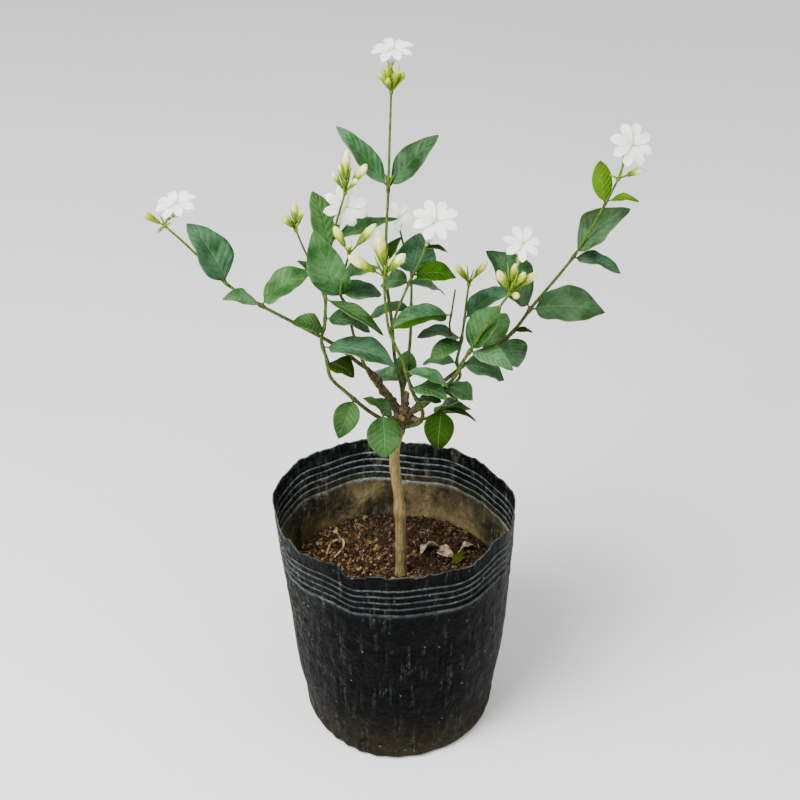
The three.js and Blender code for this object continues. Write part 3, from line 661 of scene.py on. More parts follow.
pottingSoil = {
    "level": 100,
    "bedDepth": 18,
    "wallGap": 1.2,
    "sides": 96,
    "startRadius": 1.5,
    "crumbs": 4200,
    "fibres": 260,
    "stemAt": 1.7,  # crumbs and fibres stay clear of the trunk here
    "dampTone": "#140c07",
    "dryTone": "#35230f",
    "shadeTone": "#1d120b",
    "glintTone": "#7d6440",
    "colours": [
        "#1a110a", "#2d2013", "#44321e", "#60492c", "#7d613b", "#9c7f52", "#372818", "#533e24", "#6b5232"],
    "chipShare": 0.03,
    "chipColours": ["#8e7b5c", "#a2906c", "#b0a084", "#78603f", "#9c8a6b"],
    "fibreColours": ["#5d442d", "#765c3e", "#3a2719", "#887251"],
}


def soilRelief(x, y):
    lumps = math.sin(x * 0.19 + 1) * math.cos(y * 0.23) + 0.6 * math.sin(x * 0.43 - y * 0.31)
    return lumps + 1.1 * noise.noise(Vector((x, y, 0)) * 0.14) + 0.55 * noise.noise(Vector((x, y, 9)) * 0.42)


def soilRim(angle, height):  # how far the soil reaches at a height
    return wallRadius(height) + wallRipple(angle, height) - 1 - pottingSoil["wallGap"]


def soilHeight(x, y):
    fall = max(0, (math.hypot(x, y) - soilRim(math.atan2(y, x), pottingSoil["level"]) + 9) / 9)
    return pottingSoil["level"] + soilRelief(x, y) * (1 - 0.5 * min(1, fall)) - 3.2 * min(1, fall) ** 2


def makeSoilBed():
    radius, level = pottingSoil["startRadius"], pottingSoil["level"]
    bed = startRing("soilBed", pottingSoil["sides"], radius, level)
    for wide in [3 + 1.6 * i for i in range(42)]:
        pullRing(radius, wide, level, level)
        radius = wide
    bpy.ops.mesh.extrude_edges_move(TRANSFORM_OT_translate={"value": (0, 0, -pottingSoil["bedDepth"] * mm)})
    bpy.ops.mesh.edge_face_add()
    closeEdit()
    tints = []
    for vertex in bed.data.vertices:
        x, y, z = vertex.co / mm
        angle = math.atan2(y, x)
        top = z > level - 5
        height = level if top else level - pottingSoil["bedDepth"]
        reach = math.hypot(x, y) * (soilRim(angle, height) / radius)
        x, y = reach * math.cos(angle), reach * math.sin(angle)
        vertex.co = Vector((x, y, soilHeight(x, y) if top else height)) * mm
        shade = noise.noise(Vector((x, y, 2)) * 0.3)
        tints.append(blendColours(pottingSoil["dampTone"], pottingSoil["dryTone"], 0.5 + shade))
    paint(bed, tints)
    smooth(bed)
    return bed


def scatter(blank, spots, colours, name):  # many turned, sized copies of one small shape as one mesh
    points, faces, tints = [], [], []
    shape = [v.co.copy() for v in blank.data.vertices]
    corners = [tuple(p.vertices) for p in blank.data.polygons]
    for (place, size, twist), colour in zip(spots, colours):
        start = len(points)
        turnBy = twist.to_matrix()
        for corner in shape:
            points.append(place * mm + turnBy @ Vector(c * s for c, s in zip(corner, size)) * mm)
            tints.append(colour)
        faces += [tuple(start + c for c in face) for face in corners]
    mesh = bpy.data.meshes.new(name)
    mesh.from_pydata(points, [], faces)
    made = bpy.data.objects.new(name, mesh)
    bpy.context.scene.collection.objects.link(made)
    paint(made, tints)
    return made


def makeSoilCrumbs(chance):
    bpy.ops.mesh.primitive_ico_sphere_add(subdivisions=1, radius=1, location=(0, 0, 0))
    crumb = newPrimitive("crumb")
    for vertex in crumb.data.vertices:
        vertex.co *= 1 + 0.6 * noise.noise(vertex.co * 2.3)
    spots, colours = [], []
    while len(spots) < pottingSoil["crumbs"]:
        x, y = chance.uniform(-72, 72), chance.uniform(-72, 72)
        rim = soilRim(math.atan2(y, x), pottingSoil["level"]) - 2.4
        if math.hypot(x, y) > rim or math.hypot(x - pottingSoil["stemAt"], y) < 4.6:
            continue
        size = 0.5 + 1.4 * chance.random() ** 2.2
        flat = chance.uniform(0.45, 0.95)
        twist = Quaternion([chance.gauss(0, 1) for axis in range(4)])
        twist.normalize()
        place = Vector((x, y, soilHeight(x, y) + size * chance.uniform(0.1, 0.55)))
        spots.append((place, (size, size * chance.uniform(0.6, 1), size * flat), twist))
        palette = pottingSoil["chipColours" if chance.random() < pottingSoil["chipShare"] else "colours"]
        # painted shade: the crumbs are darkened towards the back right, where the bag's wall shades the soil
        ramp = min(1, max(0, (x * 0.7 + y * 0.5 + 8 * noise.noise(Vector((x, y, 5)) * 0.1) + 6) / 30))
        tone = asLight(chance.choice(palette))
        colours.append(blendColours(tone, tuple(part * 0.34 for part in tone[:3]) + (1.0,), ramp))
    crumbs = scatter(crumb, spots, colours, "soilCrumbs")
    drop(crumb)
    return crumbs


def makeSoilFibres(chance):
    bpy.ops.mesh.primitive_cylinder_add(vertices=4, radius=1, depth=2, location=(0, 0, 0))
    fibre = newPrimitive("fibre")
    cutLevels(fibre, [0.3])
    for vertex in fibre.data.vertices:
        vertex.co.x += 1.6 * (1 - vertex.co.z**2)
    spots, colours = [], []
    while len(spots) < pottingSoil["fibres"]:
        x, y = chance.uniform(-68, 68), chance.uniform(-68, 68)
        if math.hypot(x, y) > 66 or math.hypot(x - pottingSoil["stemAt"], y) < 6:
            continue
        way = heading(chance.uniform(0, 360), chance.uniform(-12, 22))
        thin = chance.uniform(0.14, 0.3)
        size = (thin, thin, chance.uniform(1.5, 4.2))
        twist = Vector((0, 0, 1)).rotation_difference(way)
        spots.append((Vector((x, y, soilHeight(x, y) + 0.9)), size, twist))
        colours.append(asLight(chance.choice(pottingSoil["fibreColours"])))
    fibres = scatter(fibre, spots, colours, "soilFibres")
    drop(fibre)
    return fibres


def soilMaterial():
    material, shader = newMaterial("pottingMix")
    place = objectPlace()
    coarse = grain(place, 420, 4, 0.65)
    fine = grain(place, 1900, 3, 0.6)
    tint = attribute("tint", "Color")
    dark = mix(spread(coarse, 0.35, 0.65), pottingSoil["shadeTone"], tint)
    colour = mix(spread(fine, 0.3, 0.75, 0.0, 0.45), tint, dark)
    feed(shader, "Base Color", mix(times(spread(fine, 0.62, 0.7), 0.3), colour, pottingSoil["glintTone"]))
    feed(shader, "Roughness", 0.95)
    feed(shader, "Specular IOR Level", 0.2)
    grains = bumpFrom(coarse, 0.6, 0.0014)
    feed(shader, "Normal", bumpFrom(fine, 0.6, 0.0005, grains))
    return material


chance = random.Random(11)
soil = joinInto([makeSoilBed(), makeSoilCrumbs(chance), makeSoilFibres(chance)], "pottingSoil")
dress(soil, soilMaterial())
finishPiece(soil, ["potting_soil"])
print("potting soil made:", len(soil.data.polygons), "faces")


# trunk and pruned crown

woodyTrunk = {
    "foot": 84,
    "route": [(1.7, 0, 58), (1.7, 0, 100), (1, 0, 150), (-2.4, 0, 196), (2, 0, 216)],
    "radii": (3.7, 3.2),
    "knobHeight": 150,
    "knobRadius": 4.4,
    "scars": [(0.35, 122, 2), (0.3, 182, 2.4)],  # rise, height and spread of the ring scars
    "sides": 20,
    "crown": (3, 1, 221),
    "crownRadius": 6.5,
    "tallness": 1.3,
    "fork": [(2, 2, 222), (-8, 5, 236), (-17, 5, 251)],
    "forkRadii": (3.2, 2.5),
    "stubs": [(200, -5, 13), (330, 5, 14), (265, 30, 12), (60, 74, 17), (350, 42, 13)],  # way, rise and reach
    "voxel": 0.5,
    "bark": "#8c7b4f",
    "lowBark": "#756843",
    "oldWood": "#23150c",
    "cutWood": "#745735",
    "grainDark": "#c3b595",
    "grainLight": "#c4b288",
    "specks": "#3a2d1e",
}


def trunkRadius(height):
    facts = woodyTrunk
    ends = zip(facts["radii"], (facts["route"][0][2], facts["route"][-1][2]))
    plain = lookUp(list(ends), height)
    knob = (facts["knobRadius"] - plain) * bell(height - facts["knobHeight"], 5.5)
    flare = 0.9 * max(0, 1 - abs(height - 99) / 9)  # where the stem enters the soil
    return plain + knob + flare + sum(rise * bell(height - at, wide) for rise, at, wide in facts["scars"])


def makeTrunk():
    facts = woodyTrunk
    stem = [point for point in walkRoute(facts["route"], 2) if point.z > facts["foot"] - 2]
    parts = [roundRod(stem, [trunkRadius(point.z) for point in stem], "trunkRod", facts["sides"])]
    bpy.ops.mesh.primitive_ico_sphere_add(
        subdivisions=4, radius=facts["crownRadius"] * mm, location=Vector(facts["crown"]) * mm)
    bpy.context.object.scale = (1, 1, facts["tallness"])
    parts.append(newPrimitive("crown"))
    middle = Vector(facts["crown"])
    for toward, rise, reach in facts["stubs"]:
        points = [middle + heading(toward, rise) * reach * share for share in (0, 0.4, 0.7, 0.86, 1)]
        parts.append(roundRod(points, [3.2, 2.6, 2.0, 2.1, 1.9], "stub", 12))
    fork = walkRoute(facts["fork"], 3)
    foot, tip = facts["forkRadii"]
    radii = [foot - (foot - tip) * i / (len(fork) - 1) + 0.35 * math.sin(i * 2.1) for i in range(len(fork))]
    parts.append(roundRod(fork, radii, "fork", 12))
    trunk = joinInto(parts, "trunkWood")
    remesh = trunk.modifiers.new("oneSkin", "REMESH")
    remesh.mode = "VOXEL"
    remesh.voxel_size = facts["voxel"] * mm
    trunk.modifiers.new("soften", "SMOOTH").iterations = 3
    applyAll(trunk)
    normals = [v.normal.copy() for v in trunk.data.vertices]
    tints = []
    for vertex, normal in zip(trunk.data.vertices, normals):
        point = vertex.co / mm
        crownward = min(1, max(0, (point.z - 205) / 9))  # 1 on the crown's rough old wood
        streak = noise.noise(Vector((point.x * 1.1, point.y * 1.1, point.z * 0.09)))
        lump = noise.noise(point * 0.42) + 0.6 * abs(noise.noise(point * 0.9))
        away = 0.05 * streak * (1 - crownward) + (1.15 * lump - 0.3) * crownward
        vertex.co += normal * away * mm
        tone = blendColours(facts["lowBark"], facts["bark"], (point.z - 108) / 60)
        tone = blendColours(tone, facts["oldWood"], crownward * (0.85 + 0.4 * lump))
        for toward, rise, reach in facts["stubs"]:  # the pale face where a branch was cut
            way = heading(toward, rise)
            apart = point - middle
            if apart.dot(way) > reach - 1.2 and (apart - way * apart.dot(way)).length < 1.9:
                tone = blendColours(tone, facts["cutWood"], 0.8)
        tints.append(tone)
    paint(trunk, tints)
    smooth(trunk)
    return trunk


def barkMaterial():
    material, shader = newMaterial("woodyBark")
    place = objectPlace()
    streaks = grain(objectPlace((1, 1, 0.08)), 900, 5, 0.7)
    blotches = grain(place, 110, 4, 0.6)
    specks = grain(place, 1300, 2, 0.5)
    tint = attribute("tint", "Color")
    dark = mix(1.0, tint, woodyTrunk["grainDark"], "MULTIPLY")
    light = mix(0.2, tint, woodyTrunk["grainLight"])
    colour = mix(spread(streaks, 0.35, 0.68), dark, light)
    colour = mix(times(spread(blotches, 0.5, 0.7), 0.5), colour, dark)
    colour = mix(times(spread(specks, 0.62, 0.7), 0.6), colour, woodyTrunk["specks"])
    feed(shader, "Base Color", colour)
    feed(shader, "Roughness", spread(blotches, 0.3, 0.7, 0.72, 0.92))
    feed(shader, "Specular IOR Level", 0.25)
    ridges = bumpFrom(streaks, 0.25, 0.0003)
    feed(shader, "Normal", bumpFrom(specks, 0.25, 0.0003, ridges))
    return material


trunk = makeTrunk()
dress(trunk, barkMaterial())
finishPiece(trunk, ["trunk"])
print("trunk made:", len(trunk.data.polygons), "faces")


# leafy shoots

leafBlank = {
    "columns": 10,
    "rows": 22,
    "thickness": 0.42,
    "petioleShare": 0.09,
    "petioleWidth": 1.3,
    "slenderness": 0.62,
    "sideVeins": 7.5,  # pairs on a leaf
    "veinSlant": 1.9,
}
# the pale and the cool bluish looks carry a painted sheen of the sky, for leaves that face up; the dark and
# shade looks are painted shade, for leaves in shadow
leafLooks = {
    "deep": "#244a20",
    "mid": "#316224",
    "cool": "#2f5a3a",
    "pale": "#4d7c53",
    "young": "#5d8503",
    "olive": "#5c5c03",
    "dark": "#213c04",
    "vivid": "#2f5600",
    "leafy": "#2c5013",
    "shade": "#21442a",
}
leafTones = {
    "deeper": "#96ac86",
    # painted sheen: a pale bluish tone laid in patches on leaves whose tint is bluish
    "paintedSheen": "#7fae80",
    "warm": "#5d7a1c",
    "back": "#567e1c",
    "edge": "#6f8440",
}
leafSides = {  # face and back
    "backShare": (0.0, 0.4),
    "veinTone": ("#9dbb84", "#9db266"),
    "veinShare": (0.16, 0.35),
    "veinRise": (-1.0, 1.0),
    "roughness": ((0.42, 0.56), (0.55, 0.7)),
    "gloss": (0.13, 0.08),
}
leafColumns = ("at", "toward", "rise", "long", "wide", "roll", "look")  # a wide of 0 is the usual width
shoots = {  # each has its stem's route, the radii at its foot and tip, its leaves and its side twigs
    "leader": {
        "route": [(3, 5, 222), (2, 12, 236), (-2, 11, 256), (-4, 7, 285), (-7, 1, 316), (-7, -5, 333),
            (-7, -7, 352), (-6, -4, 371), (-5, 2, 403), (-4, 6, 432)],
        "radii": (1.3, 0.65),
        "leaves": [
            (0.75, 163, 49, 46, 16, 20, "pale", {"arch": 0}),
            (0.75, 8, 48, 42, 18, -32, "deep", {"arch": 0.02}),
            (0.745, 120, 70, 9, 2.4, 0, "young"),
            (0.745, 20, 66, 10, 2.6, 0, "young"),
            (0.53, 40, 50, 17, 9, 0, "dark"),
        ],
    },
    "left_branch": {
        "route": [(-15, 5, 247), (-18, 4, 253), (-24, 2, 259), (-38, -2, 274), (-63, -4, 291),
            (-81, -4, 302), (-102, -2, 316), (-118, 2, 332), (-127, 4, 341), (-136, 6, 349)],
        "radii": (1.4, 0.65),
        "leaves": [
            (0.7, 160, 58, 43, 0, 20, "cool"),
            (0.76, 165, 30, 8, 2, 0, "young"),
            (0.55, -150, 26, 27, 16, 10, "pale"),
            (0.55, 11, 35, 37, 0, -15, "mid"),
        ],
    },
    "left_upright": {
        "route": [(2, -1, 220), (-6, -9, 224), (-16, -11, 231), (-31, -12, 246), (-41, -13, 258),
            (-43, -14, 271), (-46, -14, 285), (-44, -13, 293), (-43, -11, 310), (-43, -8, 322),
            (-40, -5, 340), (-37, -4, 353), (-31, -5, 375)],
        "radii": (1.4, 0.65),
        "leaves": [
            (0.8, 120, 56, 36, 18, 0, "mid"),
            (0.835, 22, 11, 42, 16, 0, "mid", {"arch": 0.02}),
            (0.67, 178, 50, 24, 10, 15, "deep"),
            (0.53, -150, 26, 23, 0, 35, "mid"),
            (0.635, -24, -21, 41, 12, 0, "leafy", {"fold": 0.4, "arch": 0.02}),
            (0.565, -5, -13, 28, 22, 0, "deep"),
            (0.46, -12, -8, 46, 0, 0, "cool"),
            (0.4, -27, -14, 19, 19, 0, "dark"),
            (0.22, -120, -44, 26, 0, 20, "leafy"),
        ],
        "twigs": [
            {
                "route": [(-43, -11, 309), (-49, -6, 326), (-55, -5, 340), (-59, -6, 352)],
            },
            {
                "route": [(-41, -5.6, 337), (-40, 2, 342), (-35, 8, 350), (-32, 8.4, 358)],
            },
        ],
    },
    "middle_shoot": {
        "route": [(1, -1, 224), (-8, -3, 239), (-17, 0, 251), (-25, 2, 270), (-31, 0, 300), (-34, -12, 314),
            (-33, -16, 325), (-29, -16, 341)],
        "radii": (1.3, 0.65),
        "leaves": [
            (0.73, -142, 69, 54, 24, 130, "mid"),
            (0.89, 26, 6, 24, 0, 0, "pale"),
            (0.79, 27, -12, 28, 0, -20, "cool"),
        ],
    },
    "front_cane": {
        "route": [(4, -3, 216), (13, -9, 223), (15, -13, 232), (13, -16, 240), (9, -20, 251), (6, -24, 263),
            (3, -27, 276), (-5, -32, 300), (-7, -35, 316), (-8, -37, 332), (-8, -38, 338)],
        "radii": (1.4, 0.75),
        "leaves": [
            (0.475, -19, -9, 27, 14, 0, "pale"),
            (0.37, -30, 0, 25, 19, 0, "mid"),
            (0.28, -20, 8, 16, 13, 0, "leafy"),
        ],
        "twigs": [
            {
                "route": [(-5, -32, 300), (1, -31, 318), (7, -28, 332), (13, -26, 345), (16, -25, 353)],
                "leaves": [
                    (0.66, -10, 4, 25, 17, -15, "vivid"),
                    (0.56, 20, -24, 25, 16, 0, "pale"),
                    (0.57, 140, -18, 23, 15, 30, "deep"),
                    (0.97, 17, -18, 15, 7, 0, "dark"),
                ],
            },
        ],
    },
    "inner_shoot": {
        "route": [(6, 3, 222), (19, 7, 230), (38, 12, 243), (36, 9, 256), (38, 7, 269), (40, 5, 288),
            (41, 4, 302), (42, 4, 311)],
        "radii": (1.3, 0.65),
        "leaves": [
            (0.66, -159, 15, 30, 18, 0, "cool"),
            (0.64, -151, -16, 23, 13, 20, "mid"),
            (0.79, 9, 35, 33, 19, -10, "cool"),
            (0.48, 168, -6, 22, 13, 0, "pale"),
        ],
        "twigs": [
            {
                "route": [(37, 8, 265), (33, 5, 275), (31, 3, 285), (32, 2, 294), (33, 1, 303), (34, 0, 311)],
                "leaves": [
                    (0.61, -161, -1, 38, 23, 5, "pale", {"turned": "vivid"}),
                ],
            },
        ],
    },
    "right_cluster_shoot": {
        "route": [(5, -1, 223), (15, -8, 234), (24, -12, 246), (34, -16, 260), (39, -20, 274),
            (44, -22, 284), (54, -24, 304), (64, -24, 320)],
        "radii": (1.4, 0.75),
        "leaves": [
            (0.62, 30, 51, 33, 22, -10, "mid"),
            (0.62, -28, -9, 29, 17, -5, "pale"),
            (0.52, 5, -22, 29, 20, -10, "deep"),
            (0.34, -30, -12, 19, 18, 0, "cool"),
            (0.3, -60, 10, 18, 13, 10, "deep"),
        ],
    },
    "right_branch": {
        "route": [(6, 6, 220), (18, 20, 225), (45, 29, 245), (68, 26, 264), (83, 22, 289), (106, 14, 328),
            (121, 10, 362), (127, 8, 378)],
        "radii": (1.5, 0.65),
        "leaves": [
            (0.39, -64, -42, 20, 21, -25, "cool"),
            (0.42, -10, 4, 12, 6, 0, "dark"),
            (0.51, 164, 54, 46, 31, 20, "deep"),
            (0.51, -10, 4, 46, 31, -20, "shade"),
            (0.74, 7, 43, 43, 28, -10, "shade"),
            (0.73, -16, -11, 30, 18, 0, "cool"),
            (0.92, -140, 78, 31, 12, -50, "young"),
            (0.93, -24, 13, 20, 10, 0, "young"),
            (0.3, 60, 25, 34, 0, 0, "mid"),
        ],
    },
    "back_shoot": {
        "route": [(3, 6, 220), (3, 19, 230), (7, 28, 256), (8, 30, 288), (8, 28, 308)],
        "radii": (1.3, 0.75),
        "leaves": [
            (0.98, 15, 79, 28, 26, 0, "cool"),
            (0.74, 180, -16, 28, 15, 0, "deep"),
            (0.22, 80, 45, 21, 15, 0, "mid"),
            (0.22, 140, -10, 30, 0, 0, "pale"),
        ],
        "twigs": [
            {
                "route": [(8, 28, 307), (4, 30, 322), (1, 29, 336)],
            },
        ],
    },
    "low_sprout_front": {
        "route": [(3, -3, 219), (-4, -12, 228), (-10, -18, 236)],
        "radii": (1.2, 0.7),
        "leaves": [
            (0.96, -85, -62, 28, 22, 0, "leafy"),
            (0.9, 178, 42, 17, 11, 0, "leafy"),
            (0.5, 172, 46, 19, 13, 0, "mid"),
        ],
    },
    "low_sprout_right": {
        "route": [(6, 1, 217), (19, -9, 227), (27, -17, 239)],
        "radii": (1.2, 0.7),
        "leaves": [
            (0.96, -100, -60, 26, 19, 0, "dark"),
            (0.93, -15, -10, 23, 6, 0, "dark"),
            (0.78, -50, 42, 26, 15, -10, "mid"),
            (0.6, 5, 12, 25, 15, 0, "mid"),
        ],
    },
}


def makeLeafBlank():
    return makeGridBlank("leafBlank", leafBlank["columns"], leafBlank["rows"])


def namedRow(columns, row):  # a table's row as a dictionary, with what a dictionary at its end adds
    named = dict(zip(columns, row))
    named.update(*row[len(columns):])
    return named


def bladeFrame(along, roll):  # the ways that a leaf's face and side look
    face = Vector((0, 0, 1)) - along * along.z
    if face.length < 0.2:
        face = Vector((0, -1, 0)) + along * along.y
    face = Quaternion(along, math.radians(-roll)) @ face.normalized()
    return face, along.cross(face)


def bladeSwell(blade):  # how full the leaf is from stalk to drawn-out tip
    swell = math.sin(math.pi * max(0.0, blade) ** 0.76) ** 0.68 if 0 < blade < 1 else 0.0
    return swell * (1 - 0.22 * max(0.0, (blade - 0.8) / 0.2))


def makeLeaf(blank, base, leaf, seed, name):
    chance = random.Random(seed * 7 + round(leaf["long"] * 10))
    along = heading(leaf["toward"], leaf["rise"])
    face, side = bladeFrame(along, leaf.get("roll", 0))
    reach = leaf["long"]
    wide = leaf["wide"] or reach * leafBlank["slenderness"]
    arch = leaf.get("arch", 0.08) * reach
    fold = leaf.get("fold", 0.22)
    wave = leaf.get("wave", 0.05) * wide
    curl = chance.uniform(0.02, 0.07) * reach
    twist = chance.uniform(-0.12, 0.12)
    petiole = leafBlank["petioleShare"]
    made = copyOf(blank, name)
    sides = [vertex.co.x for vertex in made.data.vertices]
    for vertex in made.data.vertices:
        across, share = vertex.co.x, -0.015 + 1.015 * vertex.co.y
        blade = max(0.0, (share - petiole) / (1 - petiole))
        swell = bladeSwell(blade)
        least = max(0.3 if share < 0.9 else 0.12, leafBlank["petioleWidth"] / 2 * (1 - blade))
        half = max(least, swell * wide / 2)
        ripple = wave * math.sin(blade * 9 + seed * 2.1) * min(1, swell * 2)
        small = 0.32 * wave * math.sin(blade * 21 + seed * 1.3 + (2 if across > 0 else 0))
        small *= abs(across) ** 3 * swell
        rise = fold * half * swell * abs(across) ** 1.35
        rise += (ripple if across < 0 else -0.8 * ripple) * abs(across) ** 1.6 + small
        veins = abs((blade * leafBlank["sideVeins"] - abs(across) * leafBlank["veinSlant"]) % 1 - 0.5)
        rise += 0.028 * wide * (0.25 - veins) * math.sin(math.pi * min(1, abs(across))) * swell
        lift = arch * 4 * max(0.0, share) * (1 - share) - curl * max(0.0, (share - 0.62) / 0.38) ** 2
        turnAway = twist * share * across * half
        bow = half * (1 - 0.09 * fold * abs(across))
        point = base + along * reach * share + face * (lift + rise + turnAway) + side * across * bow
        vertex.co = point * mm
    main = leaf.get("look", "mid")
    tones = asLight(leafLooks[main]), asLight(leafLooks[leaf.get("turned", main)])
    paint(made, [tones[across < -0.04] for across in sides])  # the turned half shows the leaf's back
    setValue(made, "luck", [chance.random()] * len(sides))
    thicken(made, leafBlank["thickness"], 0, 1)
    return made


stemColours = {
    "green": "#45650b",
    "olive": "#334208",
    "brown": "#3b2f10",
    "streak": "#97a184",
    "sheen": "#8ea45e",
    "wart": "#8c8c68",
}
woodyBases = {  # how much of the stem is brown from its foot on
    "left_branch": 0.42, "right_branch": 0.5, "left_upright": 0.28, "middle_shoot": 0.3,
    "inner_shoot": 0.35, "back_shoot": 0.3, "right_cluster_shoot": 0.16,
}


def makeStem(route, radii, woody, nodesAt, name):
    walked = walkRoute(route, 2)
    count = len(walked) - 1
    sizes = []
    for i in range(count + 1):
        share = i / count
        size = radii[0] + (radii[1] - radii[0]) * share
        swell = sum(0.34 * bell((share - at) * count, 1.1) for at in nodesAt)
        sizes.append(size * (1 + min(0.55, swell)))
    stem = roundRod(walked, sizes, name, 10)
    tints = []
    order = [point * mm for point in walked]
    for vertex in stem.data.vertices:
        nearest = min(range(count + 1), key=lambda i: (order[i] - vertex.co).length_squared)
        share = nearest / count
        tone = blendColours(stemColours["olive"], stemColours["green"], share * 1.3)
        brown = max(0.0, min(1.0, (woody - share) / 0.18 + 0.5)) if woody else 0
        patch = noise.noise(vertex.co / mm * 0.14)
        tone = blendColours(tone, stemColours["brown"], brown * 0.9 + 0.3 * patch)
        for at in nodesAt:
            if abs(share - at) * count < 1.2:
                tone = blendColours(tone, stemColours["brown"], 0.35)
        tints.append(tone)
    paint(stem, tints)
    dress(stem, stemMaterial)
    return stem, walked


def pointAlong(walked, share):
    place = share * (len(walked) - 1)
    index = min(int(place), len(walked) - 2)
    return walked[index].lerp(walked[index + 1], place - index)


def makeShoot(blank, name, shoot):
    stems, leaves = [], []
    tip = shoot["radii"][1]
    runs = [(shoot, shoot["radii"], woodyBases.get(name, 0))]
    runs += [(twig, (tip * 1.1, tip * 0.9), 0) for twig in shoot.get("twigs", [])]
    for run, radii, woody in runs:
        rows = [namedRow(leafColumns, row) for row in run.get("leaves", [])]
        stem, walked = makeStem(run["route"], radii, woody, [leaf["at"] for leaf in rows], name + "Stem")
        stems.append(stem)
        for leaf in rows:
            base = pointAlong(walked, leaf["at"])
            leaves.append(makeLeaf(blank, base, leaf, len(leaves) + 1, name + "Leaf"))
    whole = joinInto(stems + leaves, name + "Growth")
    smooth(whole)
    return whole


def leafSkin(name, side):
    look = {key: pair[side] for key, pair in leafSides.items()}
    material, shader = newMaterial(name)
    place = objectPlace()
    spot = addNode("SeparateXYZ", {"Vector": addNode("UVMap", {}, uv_map="UVMap").outputs[0]}).outputs
    across = maths("ABSOLUTE", times(minus(spot["X"], 0.5), 2))
    petiole = leafBlank["petioleShare"]
    blade = maths("DIVIDE", minus(spot["Y"], petiole), 1 - petiole)
    slanted = minus(times(blade, leafBlank["sideVeins"]), times(across, leafBlank["veinSlant"]))
    between = maths("ABSOLUTE", minus(maths("FRACT", slanted), 0.5))
    sideVein = times(spread(between, 0.055, 0.0), spread(across, 0.98, 0.2, 0.25, 1.0))
    vein = maths("MAXIMUM", spread(across, 0.06, 0.015), times(sideVein, 0.75))
    cells = grain(place, 70, 3, 0.55)
    mottle = grain(place, 520, 3, 0.6)
    tint = attribute("tint", "Color")
    deeper = mix(1.0, tint, leafTones["deeper"], "MULTIPLY")
    shares = addNode("SeparateColor", {"Color": tint}).outputs
    sheenShare = spread(maths("DIVIDE", shares["Blue"], shares["Green"]), 0.02, 0.12)  # 0 on lit-through leaves
    # painted sheen: lighter bluish patches on the leaves whose tint is bluish
    paintedSheen = mix(times(sheenShare, 0.16), tint, leafTones["paintedSheen"])
    colour = mix(spread(cells, 0.32, 0.68), deeper, paintedSheen)
    colour = mix(times(spread(mottle, 0.3, 0.7), 0.25), colour, deeper)
    warm = mix(0.3, colour, leafTones["warm"])
    colour = mix(times(spread(attribute("luck"), 0.4, 1.0), 0.35), colour, warm)
    colour = mix(look["backShare"], colour, leafTones["back"])
    colour = mix(times(vein, 0.8), colour, mix(look["veinShare"], colour, look["veinTone"]))
    edge = times(spread(across, 0.93, 1.0), 0.35)
    feed(shader, "Base Color", mix(edge, colour, leafTones["edge"]))
    feed(shader, "Roughness", spread(mottle, 0.3, 0.7, *look["roughness"]))
    feed(shader, "Specular IOR Level", spread(sheenShare, 0, 1, 0.03, look["gloss"]))
    pillows = bumpFrom(plus(times(vein, look["veinRise"]), times(between, 0.9)), 0.8, 0.0009)
    feed(shader, "Normal", bumpFrom(cellEdges(place, 900.0), 0.18, 0.0004, pillows))
    return material


def stemSkin():
    material, shader = newMaterial("greenStem")
    place = objectPlace()
    streaks = grain(objectPlace((1, 1, 0.25)), 1200, 4, 0.6)
    warts = grain(place, 2100, 2, 0.5)
    tint = attribute("tint", "Color")
    dark = mix(1.0, tint, stemColours["streak"], "MULTIPLY")
    light = mix(0.12, tint, stemColours["sheen"])
    colour = mix(spread(streaks, 0.33, 0.67), dark, light)
    feed(shader, "Base Color", mix(times(spread(warts, 0.63, 0.7), 0.35), colour, stemColours["wart"]))
    feed(shader, "Specular IOR Level", 0.15)
    feed(shader, "Roughness", spread(streaks, 0.3, 0.7, 0.5, 0.66))
    feed(shader, "Normal", bumpFrom(streaks, 0.35, 0.0003))
    return material


leafMaterial = leafSkin("leafFace", 0)
leafBackMaterial = leafSkin("leafBack", 1)
stemMaterial = stemSkin()
blank = makeLeafBlank()
blank.data.materials.append(leafMaterial)
blank.data.materials.append(leafBackMaterial)
for shootName, shoot in shoots.items():
    growth = makeShoot(blank, shootName, shoot)
    finishPiece(growth, [shootName])
drop(blank)
print("shoots made:", len(shoots))


# bud clusters

budFacts = {
    "sides": 12,
    "levels": 14,
    "outline": [  # how full the bud is at shares of its length
        (0.3, 0), (0.42, 0.06), (0.54, 0.2), (0.78, 0.4), (0.93, 0.56),
        (0.9, 0.68), (0.66, 0.84), (0.36, 0.94), (0.0, 1)],
    "lobeOutline": [(0.7, 0), (1.0, 0.35), (0.7, 0.7), (0.14, 1)],
    "lobeSides": 6,
    "lobeCuts": (0.2, 0.45, 0.7, 0.88),
    "jointRadius": 1.5,
    "fitGap": 0.3,  # between a stem's end and its cluster
    "base": "#4b6b02",
    "belly": "#5f8201",
    "ripe": "#c4c812",
    "tip": "#fffbc4",
    "tipStart": 0.46,
    "greenness": 0.06,  # of the clusters that aren't named below
    "greener": {
        "buds_top": 1.0, "buds_right": 0.5, "buds_left": 0.6, "buds_far_left": 0.5, "buds_inner": 0.35},
    "calyx": "#4c6902",
    "sepal": "#6f9002",
    "sepalTip": "#9fb40c",
    "knot": "#5a7a12",
    "shaded": "#bcc66a",
    "lit": "#fbf8c4",
    "blush": "#d8cf52",
}
budColumns = ("toward", "rise", "long", "fat", "stalk")
